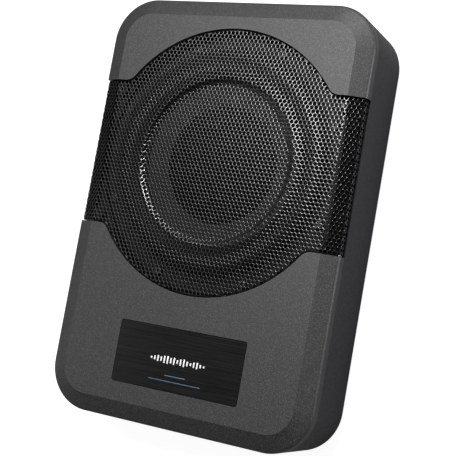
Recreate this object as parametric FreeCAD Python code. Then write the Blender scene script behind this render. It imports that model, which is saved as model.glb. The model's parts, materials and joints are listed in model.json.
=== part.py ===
import FreeCAD, Part
import math
import os

# Compact powered car subwoofer, lying on its back: X width, Y length (driver end +Y), Z up.
# Origin: centre of the footprint, on the surface that the rubber feet stand on. Millimetres.

# --- enclosure -------------------------------------------------------------
HALF_W = 115.9            # half width of the body
HALF_L = 171.9            # half length of the body
CORNER_R = 36.2           # outline corner radius
FACE_Z = 71.0             # top face of the trim panels
BEVEL_W = 14.0            # width of the bevel round the face
BEVEL_DROP = 5.1          # how far the bevel falls to the edge
EDGE_R = 3.2              # rounding between bevel and side wall
SKIRT_Z = 57.6            # lower edge of the trim panels' skirts
PANEL_T = 2.0             # trim panel wall
LAP = 0.2                 # how far features moulded or cast as one run into each other
FOOT_H = 1.0              # how far the feet stand out
RIM_Z = 57.4              # top of the cast tub
WALL_T = 3.5              # cast side wall
FLOOR_T = 3.0             # cast floor
RIM_FLANGE_W = 8.0        # width of the tub's rim, wall included
RIM_FLANGE_T = 5.0
BASE_EDGE_R = 2.5         # rounding of the tub's lower edge
SEAL_INSET = (4.5, 7.8)   # foam seal on the rim, outer and inner edge inside the outline

# --- grille ----------------------------------------------------------------
DRIVER_Y = 40.7           # driver and grille axis
GRILLE_R = 107.1          # round part of the grille
BAND_HALF = 59.7          # half width of the band that wraps over both sides
GRILLE_CORNER_R = 10.0    # rounded panel corners where band and circle meet
GRILLE_GAP = 0.5          # gap between grille and trim panels
GRILLE_DROP = 1.1         # grille surface below the panel surface
GRILLE_T = 1.0
GRILLE_FLAP_Z = 57.9      # lower edge of the side flaps
RING_OUT_R = 92.0         # pressed rings end here
RING_PROFILE = ((0.0, -0.6), (62.8, -0.6), (66.2, 0.9), (69.2, 0.9), (76.0, 0.15),
                (82.8, 0.5), (84.4, 0.5), (90.8, 0.0), (RING_OUT_R, 0.0))   # radius, height over the face
FOAM_STRIP = ((104.5, 67.4), (112.4, 64.6), (113.3, 63.8), (113.3, 61.5), (111.3, 61.5), (111.3, 63.2),
              (104.5, 65.4))   # section of the foam under each wrapped side
FOAM_STRIP_HALF_L = 57.5
STUD_X = 99.0             # weld studs that hold the grille
STUD_Y = (-12.0, 93.4)
STUD_R = 1.5
STUD_LOW_Z = 54.5
STUD_BOSS_R = 4.5
NUT_R = 3.2               # across the corners, halved
NUT_H = 2.4

# --- moulded baffle --------------------------------------------------------
BAFFLE_INSET = 2.4        # baffle edge inside the body outline
BAFFLE_LOW_Z = 58.2
BAFFLE_TOP_Z = 61.2
BAFFLE_BOSS_TOP_Z = 65.0
POCKET_R = 105.0          # pocket that the driver drops into
POCKET_WALL_T = 1.6
SEAT_LOW_Z = 50.2
SEAT_TOP_Z = 55.2
SEAT_HOLE_R = 93.0
RAIL_TOP_Z = 68.1         # rail under the grille edge
RAIL_T = 2.0

# --- badge -----------------------------------------------------------------
BADGE_Y = -118.0
BADGE_W = 112.0
BADGE_L = 49.5
BADGE_R = 2.3
BADGE_T = 0.9
BADGE_RECESS = 1.0
BADGE_GAP = 0.15
BADGE_BACK_W = 3.0        # backing that the badge is glued to, beyond its edge
BADGE_BACK_T = 2.5
BADGE_CHAMFER = 0.3

# --- fixings ---------------------------------------------------------------
COVER_SCREWS = ((98.0, 147.5), (-98.0, 147.5), (0.0, 157.5), (101.5, -30.0), (-101.5, -30.0),
                (101.5, -77.0), (-101.5, -77.0), (97.0, -149.0), (-97.0, -149.0))
COVER_SEAT_Z = 45.0
COVER_SCREW_L = 18.0
COVER_BOSS_R = 6.0
COVER_WELL_R = 4.2        # well in the underside that the screw goes up
COVER_HEAD = (3.8, 3.0)   # screw heads: radius, height
TRIM_HEAD = (3.0, 2.2)
DRIVER_HEAD = (3.6, 2.4)
BOARD_HEAD = (2.9, 2.0)
PANEL_HEAD = (2.6, 2.0)
TRIM_SCREW_L = 8.0
DRIVER_SCREW_L = 7.0
BOARD_SCREW_L = 6.5
PANEL_SCREW_L = 6.0
HOLE_CLEARANCE = 0.2      # clearance holes, on the radius
TRIM_SCREWS = ((80.0, 130.0), (-80.0, 130.0), (40.0, 156.0), (-40.0, 156.0), (85.0, -62.0),
               (-85.0, -62.0), (85.0, -128.0), (-85.0, -128.0), (35.0, -80.0), (-35.0, -80.0), (0.0, -155.0))
TRIM_BOSS_R = 4.0
TRIM_HOLE_DEPTH = 5.0
M3_R = 1.5
M4_R = 2.0
M5_TAP_R = 2.1
FEET = ((78.0, 138.0), (-78.0, 138.0), (78.0, -138.0), (-78.0, -138.0))
FOOT_R = 8.0
FOOT_GAP = 0.1
BRACKET_X = 88.0          # tapped holes for the mounting brackets
BRACKET_Y = 105.0
BRACKET_DEPTH = 8.5
BRACKET_BOSS_R = 6.0

# --- driver ----------------------------------------------------------------
FLANGE_R = 104.0
FLANGE_LOW_Z = 56.2
FLANGE_TOP_Z = 58.2
DRIVER_SCREW_PCR = 99.3
DRIVER_SCREW_COUNT = 8
DRIVER_SCREW_TURN = 22.5  # first screw, degrees from +X
BASKET_T = 2.0
LEDGE_Z = 43.2            # spider landing
LEDGE_R = (54.5, 59.5)
MOTOR_TOP_Z = 31.0
TOP_PLATE_R = 48.0
MAGNET_R = 50.0
MAGNET_HOLE_R = 24.0
YOKE_LOW_Z = 7.0
MAGNET_LOW_Z = 12.0
MAGNET_TOP_Z = 26.0
POLE_R = 18.4
POLE_TOP_Z = 32.0
VENT_R = 5.0
YOKE_CHAMFER = 1.5
FORMER_R = (19.0, 19.4)
FORMER_Z = (19.5, 48.0)
WINDING_Z = (20.5, 36.5)
WINDING_R = 20.4
TOP_PLATE_HOLE_R = 21.2
CONE_R = 69.0
CONE_EDGE_Z = 58.6
CAP_R = 47.5
CAP_SEAT_Z = 55.9
CAP_CROWN_Z = 62.4
CONE_T = 1.2
CONE_PROFILE = ((CONE_R, CONE_EDGE_Z), (CONE_R, CONE_EDGE_Z - CONE_T), (47.0, 54.6), (20.9, 46.0),
                (FORMER_R[1], 46.0), (FORMER_R[1], 47.6), (20.5, 47.6), (47.0, 55.8))
CAP_T = 1.0
CAP_RIM_W = 1.5
SURROUND_LIP = ((95.0, 58.2), (90.6, 58.2), (91.2, 59.2), (95.0, 59.2))   # glued on the basket
SURROUND_FOOT = ((69.4, 58.75), (66.0, 58.3), (66.0, 59.3), (68.9, 59.7))   # glued on the cone
SURROUND_ROLL = ((80.0, 64.1), (80.0, 65.0))   # crown of the half roll, inside and outside
SPIDER_T = 0.7
SPIDER_WAVES = 8
SPIDER_WAVE_H = 1.0
SPIDER_FLAT_W = 3.0       # flat rim at the coil former
BASKET_PROFILE = ((FLANGE_R, FLANGE_TOP_Z), (90.5, FLANGE_TOP_Z), (LEDGE_R[1], LEDGE_Z),
                  (LEDGE_R[0], LEDGE_Z), (51.5, MOTOR_TOP_Z + BASKET_T), (22.5, MOTOR_TOP_Z + BASKET_T),
                  (22.5, MOTOR_TOP_Z), (53.0, MOTOR_TOP_Z), (56.2, LEDGE_Z - BASKET_T),
                  (LEDGE_R[1] + 0.7, LEDGE_Z - BASKET_T), (91.2, FLANGE_LOW_Z), (FLANGE_R, FLANGE_LOW_Z))
WINDOW_COUNT = 6
WINDOW_SPAN = 36.0        # degrees
WINDOW_R = (62.5, 85.0)
WINDOW_LOW_Z = 35.0

# --- amplifier compartment -------------------------------------------------
PARTITION_Y = -70.0
PARTITION_T = 3.0
BOARD_X = 89.0
BOARD_Y = (-150.5, -80.0)
BOARD_LOW_Z = 12.0
BOARD_T = 1.6
BOARD_POST_R = 4.0
BOARD_SCREWS = ((84.0, -86.0), (-84.0, -86.0), (84.0, -145.0), (-84.0, -145.0), (0.0, -120.0))
BAY_X = 76.0              # connector bay sunk into the -Y end
BAY_Z = (10.0, 42.0)
BAY_WALL = 2.5
PANEL_Y = -157.0          # outer face of the connector panel
PANEL_PLATE_T = 2.5
LEDGE_IN_X = 70.0
LEDGE_IN_Z = (13.0, 38.0)
AXIS_Z = 26.0             # height of the controls and sockets
LEVEL_X = -60.0
LOWPASS_X = -38.0
PHASE_X = -18.0
RCA_X = (2.0, 18.0)
REMOTE_X = 33.5
SOCKET_X = 54.5
SOCKET_W = 30.0
SOCKET_H = 14.0
SOCKET_WALL = 1.5
PANEL_GAP = 0.3           # connector panel in its bay
PANEL_CORNER_R = 2.0
PANEL_SCREW_UP = 10.0     # panel screws above and below the axis
LED_UP = 10.0             # indicator above the axis
LED_R = 1.5
LED_OUT = 1.3
POT_HALF_W = 5.5
POT_BORE_DEPTH = 6.0
SWITCH_HALF_W = 7.0
SWITCH_DEPTH = 7.0
SWITCH_TOP = 4.0          # above the axis
REMOTE_HOLE_R = 4.0
REMOTE_BUSH_R = 3.9
REMOTE_BORE_R = 1.8
REMOTE_OUT = 4.0
PIN_COUNT = 6
PIN_PITCH = 4.2
PIN_ROW = 2.4             # rows above and below the axis
PIN_HALF_W = 0.5
PIN_OUT = 4.0
OUT_Y = -166.0            # front of knobs and sockets, inside the bay
RCA_R = 4.15              # barrel in front of the panel
RCA_NECK_R = 3.9          # barrel inside the panel and housing
RCA_BARREL_T = 0.6
RCA_DEPTH = 4.0           # how deep the barrel sits in its housing
RCA_BORE_R = 1.65
RCA_INSERT_BACK = 1.5     # insert behind the mouth of the barrel
RCA_BLOCK = 7.5           # housing beyond the outer sockets
RCA_BLOCK_TOP = 7.0       # above the axis
SHAFT_R = 3.0
KNOB_R = 6.5
KNOB_FLUTES = 18
KNOB_CHAMFER = 0.8
KNOB_GAP = 0.6            # between knob and panel
FLUTE_R = 0.7
FLUTE_PCR = 6.8
SHAFT_OUT = 5.0           # shaft in front of the panel
SLIDER_W = 3.0
SLIDER_H = 2.6
SLIDER_OUT = 2.5
SLIDER_IN = 2.8
SLIDER_GAP = (0.2, 0.1)   # along and across its slot
SLIDER_TRAVEL = 4.0
GROMMET_R = 8.0           # hole for the speaker leads in the partition
GROMMET_HALF_L = 4.0
GROMMET_LIP = 2.0
LEAD_R = 1.1
LEAD_X = 4.0
LEAD_Z = 17.0
TERMINAL_Y = -42.0
TERMINAL_LOW_Z = 35.0
TERMINAL_HALF_W = 8.0
TERMINAL_Y_SPAN = (4.0, 3.4)   # block behind and in front of the blades
TERMINAL_TOP_Z = 50.3
BLADE_H = 6.0
BLADE_HALF = (2.4, 0.5)
TINSEL_R = 0.45
TINSEL_X = 6.0
TINSEL_ROUTE = ((-30.5, 49.7), (-22.0, 46.9), (-5.0, 46.9), (3.5, 49.6))   # y, z

# --- amplifier components --------------------------------------------------
SPREADER_HALF_W = 62.0
SPREADER_Y = (-96.0, -92.0)
SPREADER_TOP_Z = 40.0
FIN_X = range(16, 63, 8)
FIN_HALF_T = 1.0
FIN_Y = -85.0
FIN_UP = 3.0              # fins start this far above the board
TRANSISTOR_X = (-50.0, -30.0, -10.0, 10.0, 30.0, 50.0)
TRANSISTOR_HALF_W = 5.0
TRANSISTOR_T = 4.6
TRANSISTOR_Z = (20.0, 36.0)
LEG_X = (-2.54, 0.0, 2.54)
LEG_HALF_W = 0.5
LEG_Y = (-98.8, -98.0)
CAPACITORS = ((-72.0, -113.0), (-53.0, -113.0), (-72.0, -131.5), (-53.0, -131.5))
CAPACITOR_R = 8.0
CAPACITOR_H = 27.0
CAPACITOR_ROUND = 0.8
CAPACITOR_GROOVE = (2.5, 4.0, 7.5)   # from, to, radius at the bottom
TRANSFORMER_AT = (50.0, -124.0)
TRANSFORMER_R = (12.0, 7.0)
INDUCTORS = ((-26.0, -112.0), (-26.0, -132.0))
BOBBIN_R = 7.0
BOBBIN_WOUND_R = 5.8
BOBBIN_FLANGE_T = 2.0
BOBBIN_H = 13.0
CHIPS = ((14.0, -112.0, 10.0), (14.0, -128.0, 8.0), (14.0, -138.0, 8.0), (-8.0, -136.0, 6.0))   # x, y, width
CHIP_HALF_L = 3.0
CHIP_H = 1.6
HEADER_HALF_W = 8.0
HEADER_Y = -91.0
HEADER_TOP_Z = 22.0

BODY_LOW_Z = FOOT_H
FLOOR_TOP_Z = BODY_LOW_Z + FLOOR_T
BOARD_TOP_Z = BOARD_LOW_Z + BOARD_T
PANEL_BACK_Y = PANEL_Y + PANEL_PLATE_T
BEHIND_Y = -143.0         # rear of the parts that stand behind the connector panel


# --- general shapes --------------------------------------------------------
def vec(x, y, z):
    return FreeCAD.Vector(x, y, z)


def box(x0, x1, y0, y1, z0, z1):
    return Part.makeBox(x1 - x0, y1 - y0, z1 - z0, vec(x0, y0, z0))


def rod(x, y, z0, z1, r):
    return Part.makeCylinder(r, z1 - z0, vec(x, y, z0))


def rod_y(x, z, y0, y1, r):
    return Part.makeCylinder(r, y1 - y0, vec(x, y0, z), vec(0, 1, 0))


def tube(x, y, z0, z1, r_in, r_out):
    return rod(x, y, z0, z1, r_out).cut(rod(x, y, z0, z1, r_in))


def line(a, b):
    return Part.LineSegment(a, b).toShape()


def arc(a, mid, b):
    return Part.Arc(a, mid, b).toShape()


def lathe(points, y=DRIVER_Y):
    """Turned solid about a vertical axis from a closed polygon of (radius, height)."""
    corners = [vec(r, 0, z) for r, z in points]
    face = Part.Face(Part.makePolygon(corners + corners[:1]))
    solid = face.revolve(vec(0, 0, 0), vec(0, 0, 1), 360)
    solid.translate(vec(0, y, 0))
    return solid


def rounded_wire(half_x, half_y, r, z, y=0.0):
    """Closed outline of a rectangle with rounded corners."""
    edges = []
    k = r * (1 - math.sqrt(0.5))
    corners = ((1, 1), (-1, 1), (-1, -1), (1, -1))
    for i, (sx, sy) in enumerate(corners):
        first = vec(sx * half_x, y + sy * (half_y - r), z)
        last = vec(sx * (half_x - r), y + sy * half_y, z)
        if sx * sy < 0:
            first, last = last, first
        mid = vec(sx * (half_x - k), y + sy * (half_y - k), z)
        edges.append(arc(first, mid, last))
        nx, ny = corners[(i + 1) % 4]
        if sy == ny:
            edges.append(line(last, vec(nx * (half_x - r), y + ny * half_y, z)))
        else:
            edges.append(line(last, vec(nx * half_x, y + ny * (half_y - r), z)))
    return Part.Wire(Part.__sortEdges__(edges))


def slab(half_x, half_y, r, z0, z1, y=0.0):
    return Part.Face(rounded_wire(half_x, half_y, r, z0, y)).extrude(vec(0, 0, z1 - z0))


def body_slab(inset, z0, z1):
    """Slab with the body's outline, moved inwards by inset."""
    return slab(HALF_W - inset, HALF_L - inset, CORNER_R - inset, z0, z1)


def fuse_all(shapes):
    return shapes[0].multiFuse(shapes[1:]).removeSplitter() if len(shapes) > 1 else shapes[0]


def cut_all(shape, tools):
    return shape.cut(Part.makeCompound(tools))


# --- the bevelled cap, used by panels and grille ---------------------------
def bevelled_cap(inset, z_low):
    """Bevelled top of the body, its surface moved inwards by inset on every side."""
    slope = math.hypot(BEVEL_W, BEVEL_DROP)
    nx = BEVEL_DROP / slope
    nz = BEVEL_W / slope
    top = FACE_Z - inset
    lip = inset * (1 - nz) / nx
    shoulder = FACE_Z - (inset + nx * (BEVEL_W - inset)) / nz
    wall = rounded_wire(HALF_W - inset, HALF_L - inset, CORNER_R - inset, shoulder)
    in_w = BEVEL_W + lip
    face = rounded_wire(HALF_W - in_w, HALF_L - in_w, CORNER_R - in_w, top)
    bevel = Part.makeLoft([wall, face], True, True)
    solid = body_slab(inset, z_low, shoulder).fuse(bevel).removeSplitter()
    edges = [e for e in solid.Edges
             if abs(e.BoundBox.ZMin - shoulder) < 0.01 and abs(e.BoundBox.ZMax - shoulder) < 0.01]
    return solid.makeFillet(EDGE_R - inset, edges)


def grille_wire(grow, half_x, z):
    """Circle and band in one outline, with rounded inner corners; grow moves it outwards."""
    radius = GRILLE_R + grow
    half = BAND_HALF + grow
    corner = GRILLE_CORNER_R + GRILLE_GAP - grow
    cx = math.sqrt((radius + corner) ** 2 - (half + corner) ** 2)
    cy = half + corner
    share = radius / (radius + corner)
    on_circle = (cx * share, cy * share)
    to_circle = math.atan2(on_circle[1] - cy, on_circle[0] - cx)
    mid_angle = (to_circle - math.pi / 2) / 2
    if to_circle > 0:
        mid_angle = (to_circle - 2 * math.pi - math.pi / 2) / 2
    mid = (cx + corner * math.cos(mid_angle), cy + corner * math.sin(mid_angle))

    def at(x, y):
        return vec(x, DRIVER_Y + y, z)

    edges = []
    for s in (1, -1):
        edges.append(line(at(half_x, s * half), at(cx, s * half)))
        edges.append(arc(at(cx, s * half), at(mid[0], s * mid[1]), at(on_circle[0], s * on_circle[1])))
        edges.append(arc(at(on_circle[0], s * on_circle[1]), at(0, s * radius),
                         at(-on_circle[0], s * on_circle[1])))
        edges.append(arc(at(-on_circle[0], s * on_circle[1]), at(-mid[0], s * mid[1]), at(-cx, s * half)))
        edges.append(line(at(-cx, s * half), at(-half_x, s * half)))
        edges.append(line(at(s * half_x, -half), at(s * half_x, half)))
    return Part.Wire(Part.__sortEdges__(edges))


def grille_prism(grow, z0, z1):
    return Part.Face(grille_wire(grow, HALF_W + 10, z0)).extrude(vec(0, 0, z1 - z0))


# --- screws ----------------------------------------------------------------
def hexagon(radius, z, height):
    """Upright hexagonal prism on the axis, starting at z."""
    corners = [vec(radius * math.cos(math.radians(a)), radius * math.sin(math.radians(a)), z)
               for a in range(0, 361, 60)]
    return Part.Face(Part.makePolygon(corners)).extrude(vec(0, 0, height))


def pan_screw(r, length, head_size, axis_up):
    """Screw with its head's seat at the origin; the shank points down, or up if axis_up."""
    head_r, head_h = head_size
    head = Part.makeCylinder(head_r, head_h)
    rim = [e for e in head.Edges
           if abs(e.BoundBox.ZMin - head_h) < 0.01 and e.BoundBox.ZMax < head_h + 0.01]
    head = head.makeFillet(head_h * 0.4, rim[:1])
    recess = hexagon(head_r * 0.45, head_h * 0.4, head_h)
    screw = head.cut(recess).fuse(Part.makeCylinder(r, length, vec(0, 0, -length)))
    screw = screw.removeSplitter()
    if axis_up:
        screw.rotate(vec(0, 0, 0), vec(1, 0, 0), 180)
    return screw


def placed(shape, spots, z):
    copies = []
    for x, y in spots:
        one = shape.copy()
        one.translate(vec(x, y, z))
        copies.append(one)
    return Part.makeCompound(copies)


# --- enclosure parts -------------------------------------------------------
def tub_with_posts():
    """Cast tub with its rim, partition, connector bay and inner posts, before drilling."""
    outer = body_slab(0, BODY_LOW_Z, RIM_Z)
    low = [e for e in outer.Edges if e.BoundBox.ZMax < BODY_LOW_Z + 0.01]
    outer = outer.makeFillet(BASE_EDGE_R, low)
    tub = outer.cut(body_slab(WALL_T, FLOOR_TOP_Z, RIM_Z))
    rim = body_slab(WALL_T - LAP, RIM_Z - RIM_FLANGE_T, RIM_Z).cut(
        body_slab(RIM_FLANGE_W, RIM_Z - RIM_FLANGE_T, RIM_Z))
    wall_x = HALF_W - WALL_T + LAP
    post_z = FLOOR_TOP_Z - LAP
    partition = box(-wall_x, wall_x, PARTITION_Y - PARTITION_T / 2, PARTITION_Y + PARTITION_T / 2,
                    post_z, RIM_Z)
    bay = box(-BAY_X - BAY_WALL, BAY_X + BAY_WALL, -HALF_L + 1, PANEL_BACK_Y + BAY_WALL,
              post_z, BAY_Z[1] + BAY_WALL)
    posts = [rod(x, y, post_z, RIM_Z, COVER_BOSS_R) for x, y in COVER_SCREWS]
    posts += [rod(x, y, post_z, BOARD_LOW_Z, BOARD_POST_R) for x, y in BOARD_SCREWS]
    posts += [rod(x, y, post_z, BOARD_LOW_Z - 1, BRACKET_BOSS_R) for x, y in bracket_spots()]
    return fuse_all([tub, rim, partition, bay] + posts)


def rear_chassis():
    behind_y = PANEL_BACK_Y + BAY_WALL + 1
    tools = [box(-BAY_X, BAY_X, -HALF_L - 1, PANEL_BACK_Y, BAY_Z[0], BAY_Z[1])]
    tools.append(box(-LEDGE_IN_X, LEDGE_IN_X, PANEL_BACK_Y - 1, behind_y, LEDGE_IN_Z[0], LEDGE_IN_Z[1]))
    tools += [rod_y(x, z, PANEL_BACK_Y - 1, behind_y, M3_R) for x, z in panel_screw_spots()]
    tools.append(rod_y(0, LEAD_Z, PARTITION_Y - PARTITION_T, PARTITION_Y + PARTITION_T, GROMMET_R))
    tools += [rod(x, y, BODY_LOW_Z - 1, COVER_SEAT_Z, COVER_WELL_R) for x, y in COVER_SCREWS]
    tools += [rod(x, y, COVER_SEAT_Z - 1, RIM_Z + 1, M4_R + HOLE_CLEARANCE) for x, y in COVER_SCREWS]
    tools += [rod(x, y, FLOOR_TOP_Z + 1, BOARD_LOW_Z + 1, M3_R) for x, y in BOARD_SCREWS]
    tools += [rod(x, y, BODY_LOW_Z - 1, BODY_LOW_Z + BRACKET_DEPTH, M5_TAP_R) for x, y in bracket_spots()]
    tools += [rod(x, y, BODY_LOW_Z - 1, BODY_LOW_Z + FOOT_H, FOOT_R + FOOT_GAP) for x, y in FEET]
    return cut_all(tub_with_posts(), tools)


def bracket_spots():
    return [(sx * BRACKET_X, sy * BRACKET_Y) for sx in (1, -1) for sy in (1, -1)]


def panel_screw_spots():
    x = (BAY_X + LEDGE_IN_X) / 2
    return [(sx * x, AXIS_Z + sz * PANEL_SCREW_UP) for sx in (1, -1) for sz in (1, -1)]


def rubber_feet():
    foot = Part.makeCylinder(FOOT_R, 2 * FOOT_H)
    low = [e for e in foot.Edges if e.BoundBox.ZMax < 0.01]
    return placed(foot.makeFillet(0.5, low[:1]), FEET, 0)


def body_seal():
    """Foam along the rim and over the partition, cut out round the screw bosses."""
    ring = body_slab(SEAL_INSET[0], RIM_Z, BAFFLE_LOW_Z).cut(body_slab(SEAL_INSET[1], RIM_Z, BAFFLE_LOW_Z))
    reach = HALF_W - SEAL_INSET[1] + 0.3
    strip = box(-reach, reach, PARTITION_Y - PARTITION_T / 2, PARTITION_Y + PARTITION_T / 2,
                RIM_Z, BAFFLE_LOW_Z)
    bosses = [rod(x, y, RIM_Z, BAFFLE_LOW_Z, COVER_BOSS_R) for x, y in COVER_SCREWS]
    return fuse_all([ring, strip]).cut(Part.makeCompound(bosses))


def driver_screw_spots():
    step = 360.0 / DRIVER_SCREW_COUNT
    spots = []
    for i in range(DRIVER_SCREW_COUNT):
        a = math.radians(DRIVER_SCREW_TURN + i * step)
        spots.append((DRIVER_SCREW_PCR * math.cos(a), DRIVER_Y + DRIVER_SCREW_PCR * math.sin(a)))
    return spots


def stud_spots():
    return [(sx * STUD_X, y) for sx in (1, -1) for y in STUD_Y]


def grille_rail(z0, z1):
    """Two arcs that follow the round grille edge above and below the band."""
    ring = tube(0, DRIVER_Y, z0, z1, POCKET_R, POCKET_R + RAIL_T)
    reach = BAND_HALF + 3
    return ring.cut(box(-HALF_W, HALF_W, DRIVER_Y - reach, DRIVER_Y + reach, z0 - 1, z1 + 1))


def baffle_frame():
    plate = body_slab(BAFFLE_INSET, BAFFLE_LOW_Z, BAFFLE_TOP_Z)
    plate = plate.cut(rod(0, DRIVER_Y, BAFFLE_LOW_Z - 1, BAFFLE_TOP_Z + 1, POCKET_R))
    pocket = tube(0, DRIVER_Y, SEAT_LOW_Z, BAFFLE_TOP_Z, POCKET_R, POCKET_R + POCKET_WALL_T)
    seat = tube(0, DRIVER_Y, SEAT_LOW_Z, SEAT_TOP_Z, SEAT_HOLE_R, POCKET_R + LAP)
    solids = [plate, pocket, seat, grille_rail(BAFFLE_TOP_Z - LAP, RAIL_TOP_Z)]
    solids += [rod(x, y, RIM_Z, BAFFLE_BOSS_TOP_Z, COVER_BOSS_R - 1) for x, y in COVER_SCREWS]
    solids += [rod(x, y, BAFFLE_TOP_Z - LAP, RAIL_TOP_Z - LAP, STUD_BOSS_R) for x, y in stud_spots()]
    solid = fuse_all(solids)
    thread_z = COVER_SEAT_Z + COVER_SCREW_L + 0.5
    tools = [rod(x, y, RIM_Z - 1, thread_z, M4_R) for x, y in COVER_SCREWS]
    tools += [rod(x, y, BAFFLE_LOW_Z - 1, RAIL_TOP_Z, STUD_R + HOLE_CLEARANCE) for x, y in stud_spots()]
    tools += [rod(x, y, BAFFLE_LOW_Z - 1, BAFFLE_TOP_Z + 1, M3_R + HOLE_CLEARANCE) for x, y in TRIM_SCREWS]
    tools += [rod(x, y, SEAT_LOW_Z + 0.5, SEAT_TOP_Z + 1, M4_R) for x, y in driver_screw_spots()]
    return cut_all(solid, tools)


def trim_panel(sign):
    """Skin, bevel and skirt on one side of the grille, with a return wall along the opening."""
    shell = bevelled_cap(0, SKIRT_Z).cut(bevelled_cap(PANEL_T, SKIRT_Z))
    core = bevelled_cap(PANEL_T / 2, SKIRT_Z)
    low_z = BAFFLE_TOP_Z
    opening = grille_prism(GRILLE_GAP, low_z - 1, FACE_Z + 1)
    wall = grille_prism(GRILLE_GAP + PANEL_T, low_z, FACE_Z).cut(opening).common(core)
    spots = [p for p in TRIM_SCREWS if (p[1] - DRIVER_Y) * sign > 0]
    bosses = [rod(x, y, low_z, FACE_Z - PANEL_T / 2, TRIM_BOSS_R).common(core) for x, y in spots]
    side = box(-HALF_W - 1, HALF_W + 1, DRIVER_Y, HALF_L + 1, 0, FACE_Z + 1)
    if sign < 0:
        side = box(-HALF_W - 1, HALF_W + 1, -HALF_L - 1, DRIVER_Y, 0, FACE_Z + 1)
        bosses.append(slab(BADGE_W / 2 + BADGE_BACK_W, BADGE_L / 2 + BADGE_BACK_W, BADGE_R + BADGE_BACK_W,
                           FACE_Z - BADGE_RECESS - BADGE_BACK_T, FACE_Z - BADGE_RECESS, BADGE_Y))
    solid = fuse_all([shell, wall] + bosses).cut(grille_prism(GRILLE_GAP, 0, FACE_Z + 1)).common(side)
    tools = [rod(x, y, low_z - 1, low_z + TRIM_HOLE_DEPTH, M3_R) for x, y in spots]
    if sign < 0:
        tools.append(slab(BADGE_W / 2 + BADGE_GAP, BADGE_L / 2 + BADGE_GAP, BADGE_R + BADGE_GAP,
                          FACE_Z - BADGE_RECESS, FACE_Z + 1, BADGE_Y))
    return cut_all(solid, tools)


def badge_plate():
    low = FACE_Z - BADGE_RECESS
    plate = slab(BADGE_W / 2, BADGE_L / 2, BADGE_R, low, low + BADGE_T, BADGE_Y)
    top = [e for e in plate.Edges if e.BoundBox.ZMin > low + BADGE_T - 0.01]
    return plate.makeChamfer(BADGE_CHAMFER, top)


def grille():
    """Pressed sheet with its rings and weld studs."""
    inner = bevelled_cap(GRILLE_DROP + GRILLE_T, GRILLE_FLAP_Z - 1)
    shell = bevelled_cap(GRILLE_DROP, GRILLE_FLAP_Z).cut(inner)
    sheet = shell.common(grille_prism(0, GRILLE_FLAP_Z - 1, FACE_Z))
    level = FACE_Z - GRILLE_DROP
    sheet = sheet.cut(rod(0, DRIVER_Y, level - 5, level + 5, RING_OUT_R))
    top = [(r, level + dz) for r, dz in RING_PROFILE]
    bottom = [(r, z - GRILLE_T) for r, z in reversed(top)]
    studs = [rod(x, y, STUD_LOW_Z, level - GRILLE_T + LAP, STUD_R) for x, y in stud_spots()]
    return fuse_all([sheet, lathe(top + bottom)] + studs)


def grille_foam():
    """Thin foam on the baffle's rails and a shaped strip under each wrapped side."""
    strips = []
    for s in (1, -1):
        section = [vec(s * x, DRIVER_Y - FOAM_STRIP_HALF_L, z) for x, z in FOAM_STRIP]
        face = Part.Face(Part.makePolygon(section + section[:1]))
        strips.append(face.extrude(vec(0, 2 * FOAM_STRIP_HALF_L, 0)))
    return Part.makeCompound([grille_rail(RAIL_TOP_Z, FACE_Z - GRILLE_DROP - GRILLE_T)] + strips)


def grille_nuts():
    nut = hexagon(NUT_R, 0, NUT_H).cut(Part.makeCylinder(STUD_R, NUT_H))
    return placed(nut, stud_spots(), BAFFLE_LOW_Z - NUT_H)


def cover_screws():
    return placed(pan_screw(M4_R, COVER_SCREW_L, COVER_HEAD, True), COVER_SCREWS, COVER_SEAT_Z)


def trim_screws():
    return placed(pan_screw(M3_R, TRIM_SCREW_L, TRIM_HEAD, True), TRIM_SCREWS, BAFFLE_LOW_Z)


# --- driver parts ----------------------------------------------------------
def driver_basket():
    """Pressed basket with windows in its sloping wall."""
    tools = []
    for i in range(WINDOW_COUNT):
        start = i * 360.0 / WINDOW_COUNT - WINDOW_SPAN / 2
        sector = Part.makeCylinder(WINDOW_R[1], FACE_Z - WINDOW_LOW_Z, vec(0, 0, WINDOW_LOW_Z),
                                   vec(0, 0, 1), WINDOW_SPAN)
        sector = sector.cut(rod(0, 0, MOTOR_TOP_Z, FACE_Z, WINDOW_R[0]))
        sector.rotate(vec(0, 0, 0), vec(0, 0, 1), start)
        sector.translate(vec(0, DRIVER_Y, 0))
        tools.append(sector)
    hole_r = M4_R + HOLE_CLEARANCE
    tools += [rod(x, y, FLANGE_LOW_Z - 1, FLANGE_TOP_Z + 1, hole_r) for x, y in driver_screw_spots()]
    return cut_all(lathe(BASKET_PROFILE), tools)


def driver_gasket():
    ring = tube(0, DRIVER_Y, SEAT_TOP_Z, FLANGE_LOW_Z, SEAT_HOLE_R + 1, FLANGE_R)
    hole_r = M4_R + HOLE_CLEARANCE
    holes = [rod(x, y, SEAT_TOP_Z - 1, FLANGE_LOW_Z + 1, hole_r) for x, y in driver_screw_spots()]
    return cut_all(ring, holes)


def driver_screws():
    return placed(pan_screw(M4_R, DRIVER_SCREW_L, DRIVER_HEAD, False), driver_screw_spots(), FLANGE_TOP_Z)


def turned(edges):
    """Turned solid about the driver's axis from the edges of its half section."""
    solid = Part.Face(Part.Wire(edges)).revolve(vec(0, 0, 0), vec(0, 0, 1), 360)
    solid.translate(vec(0, DRIVER_Y, 0))
    return solid


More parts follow.
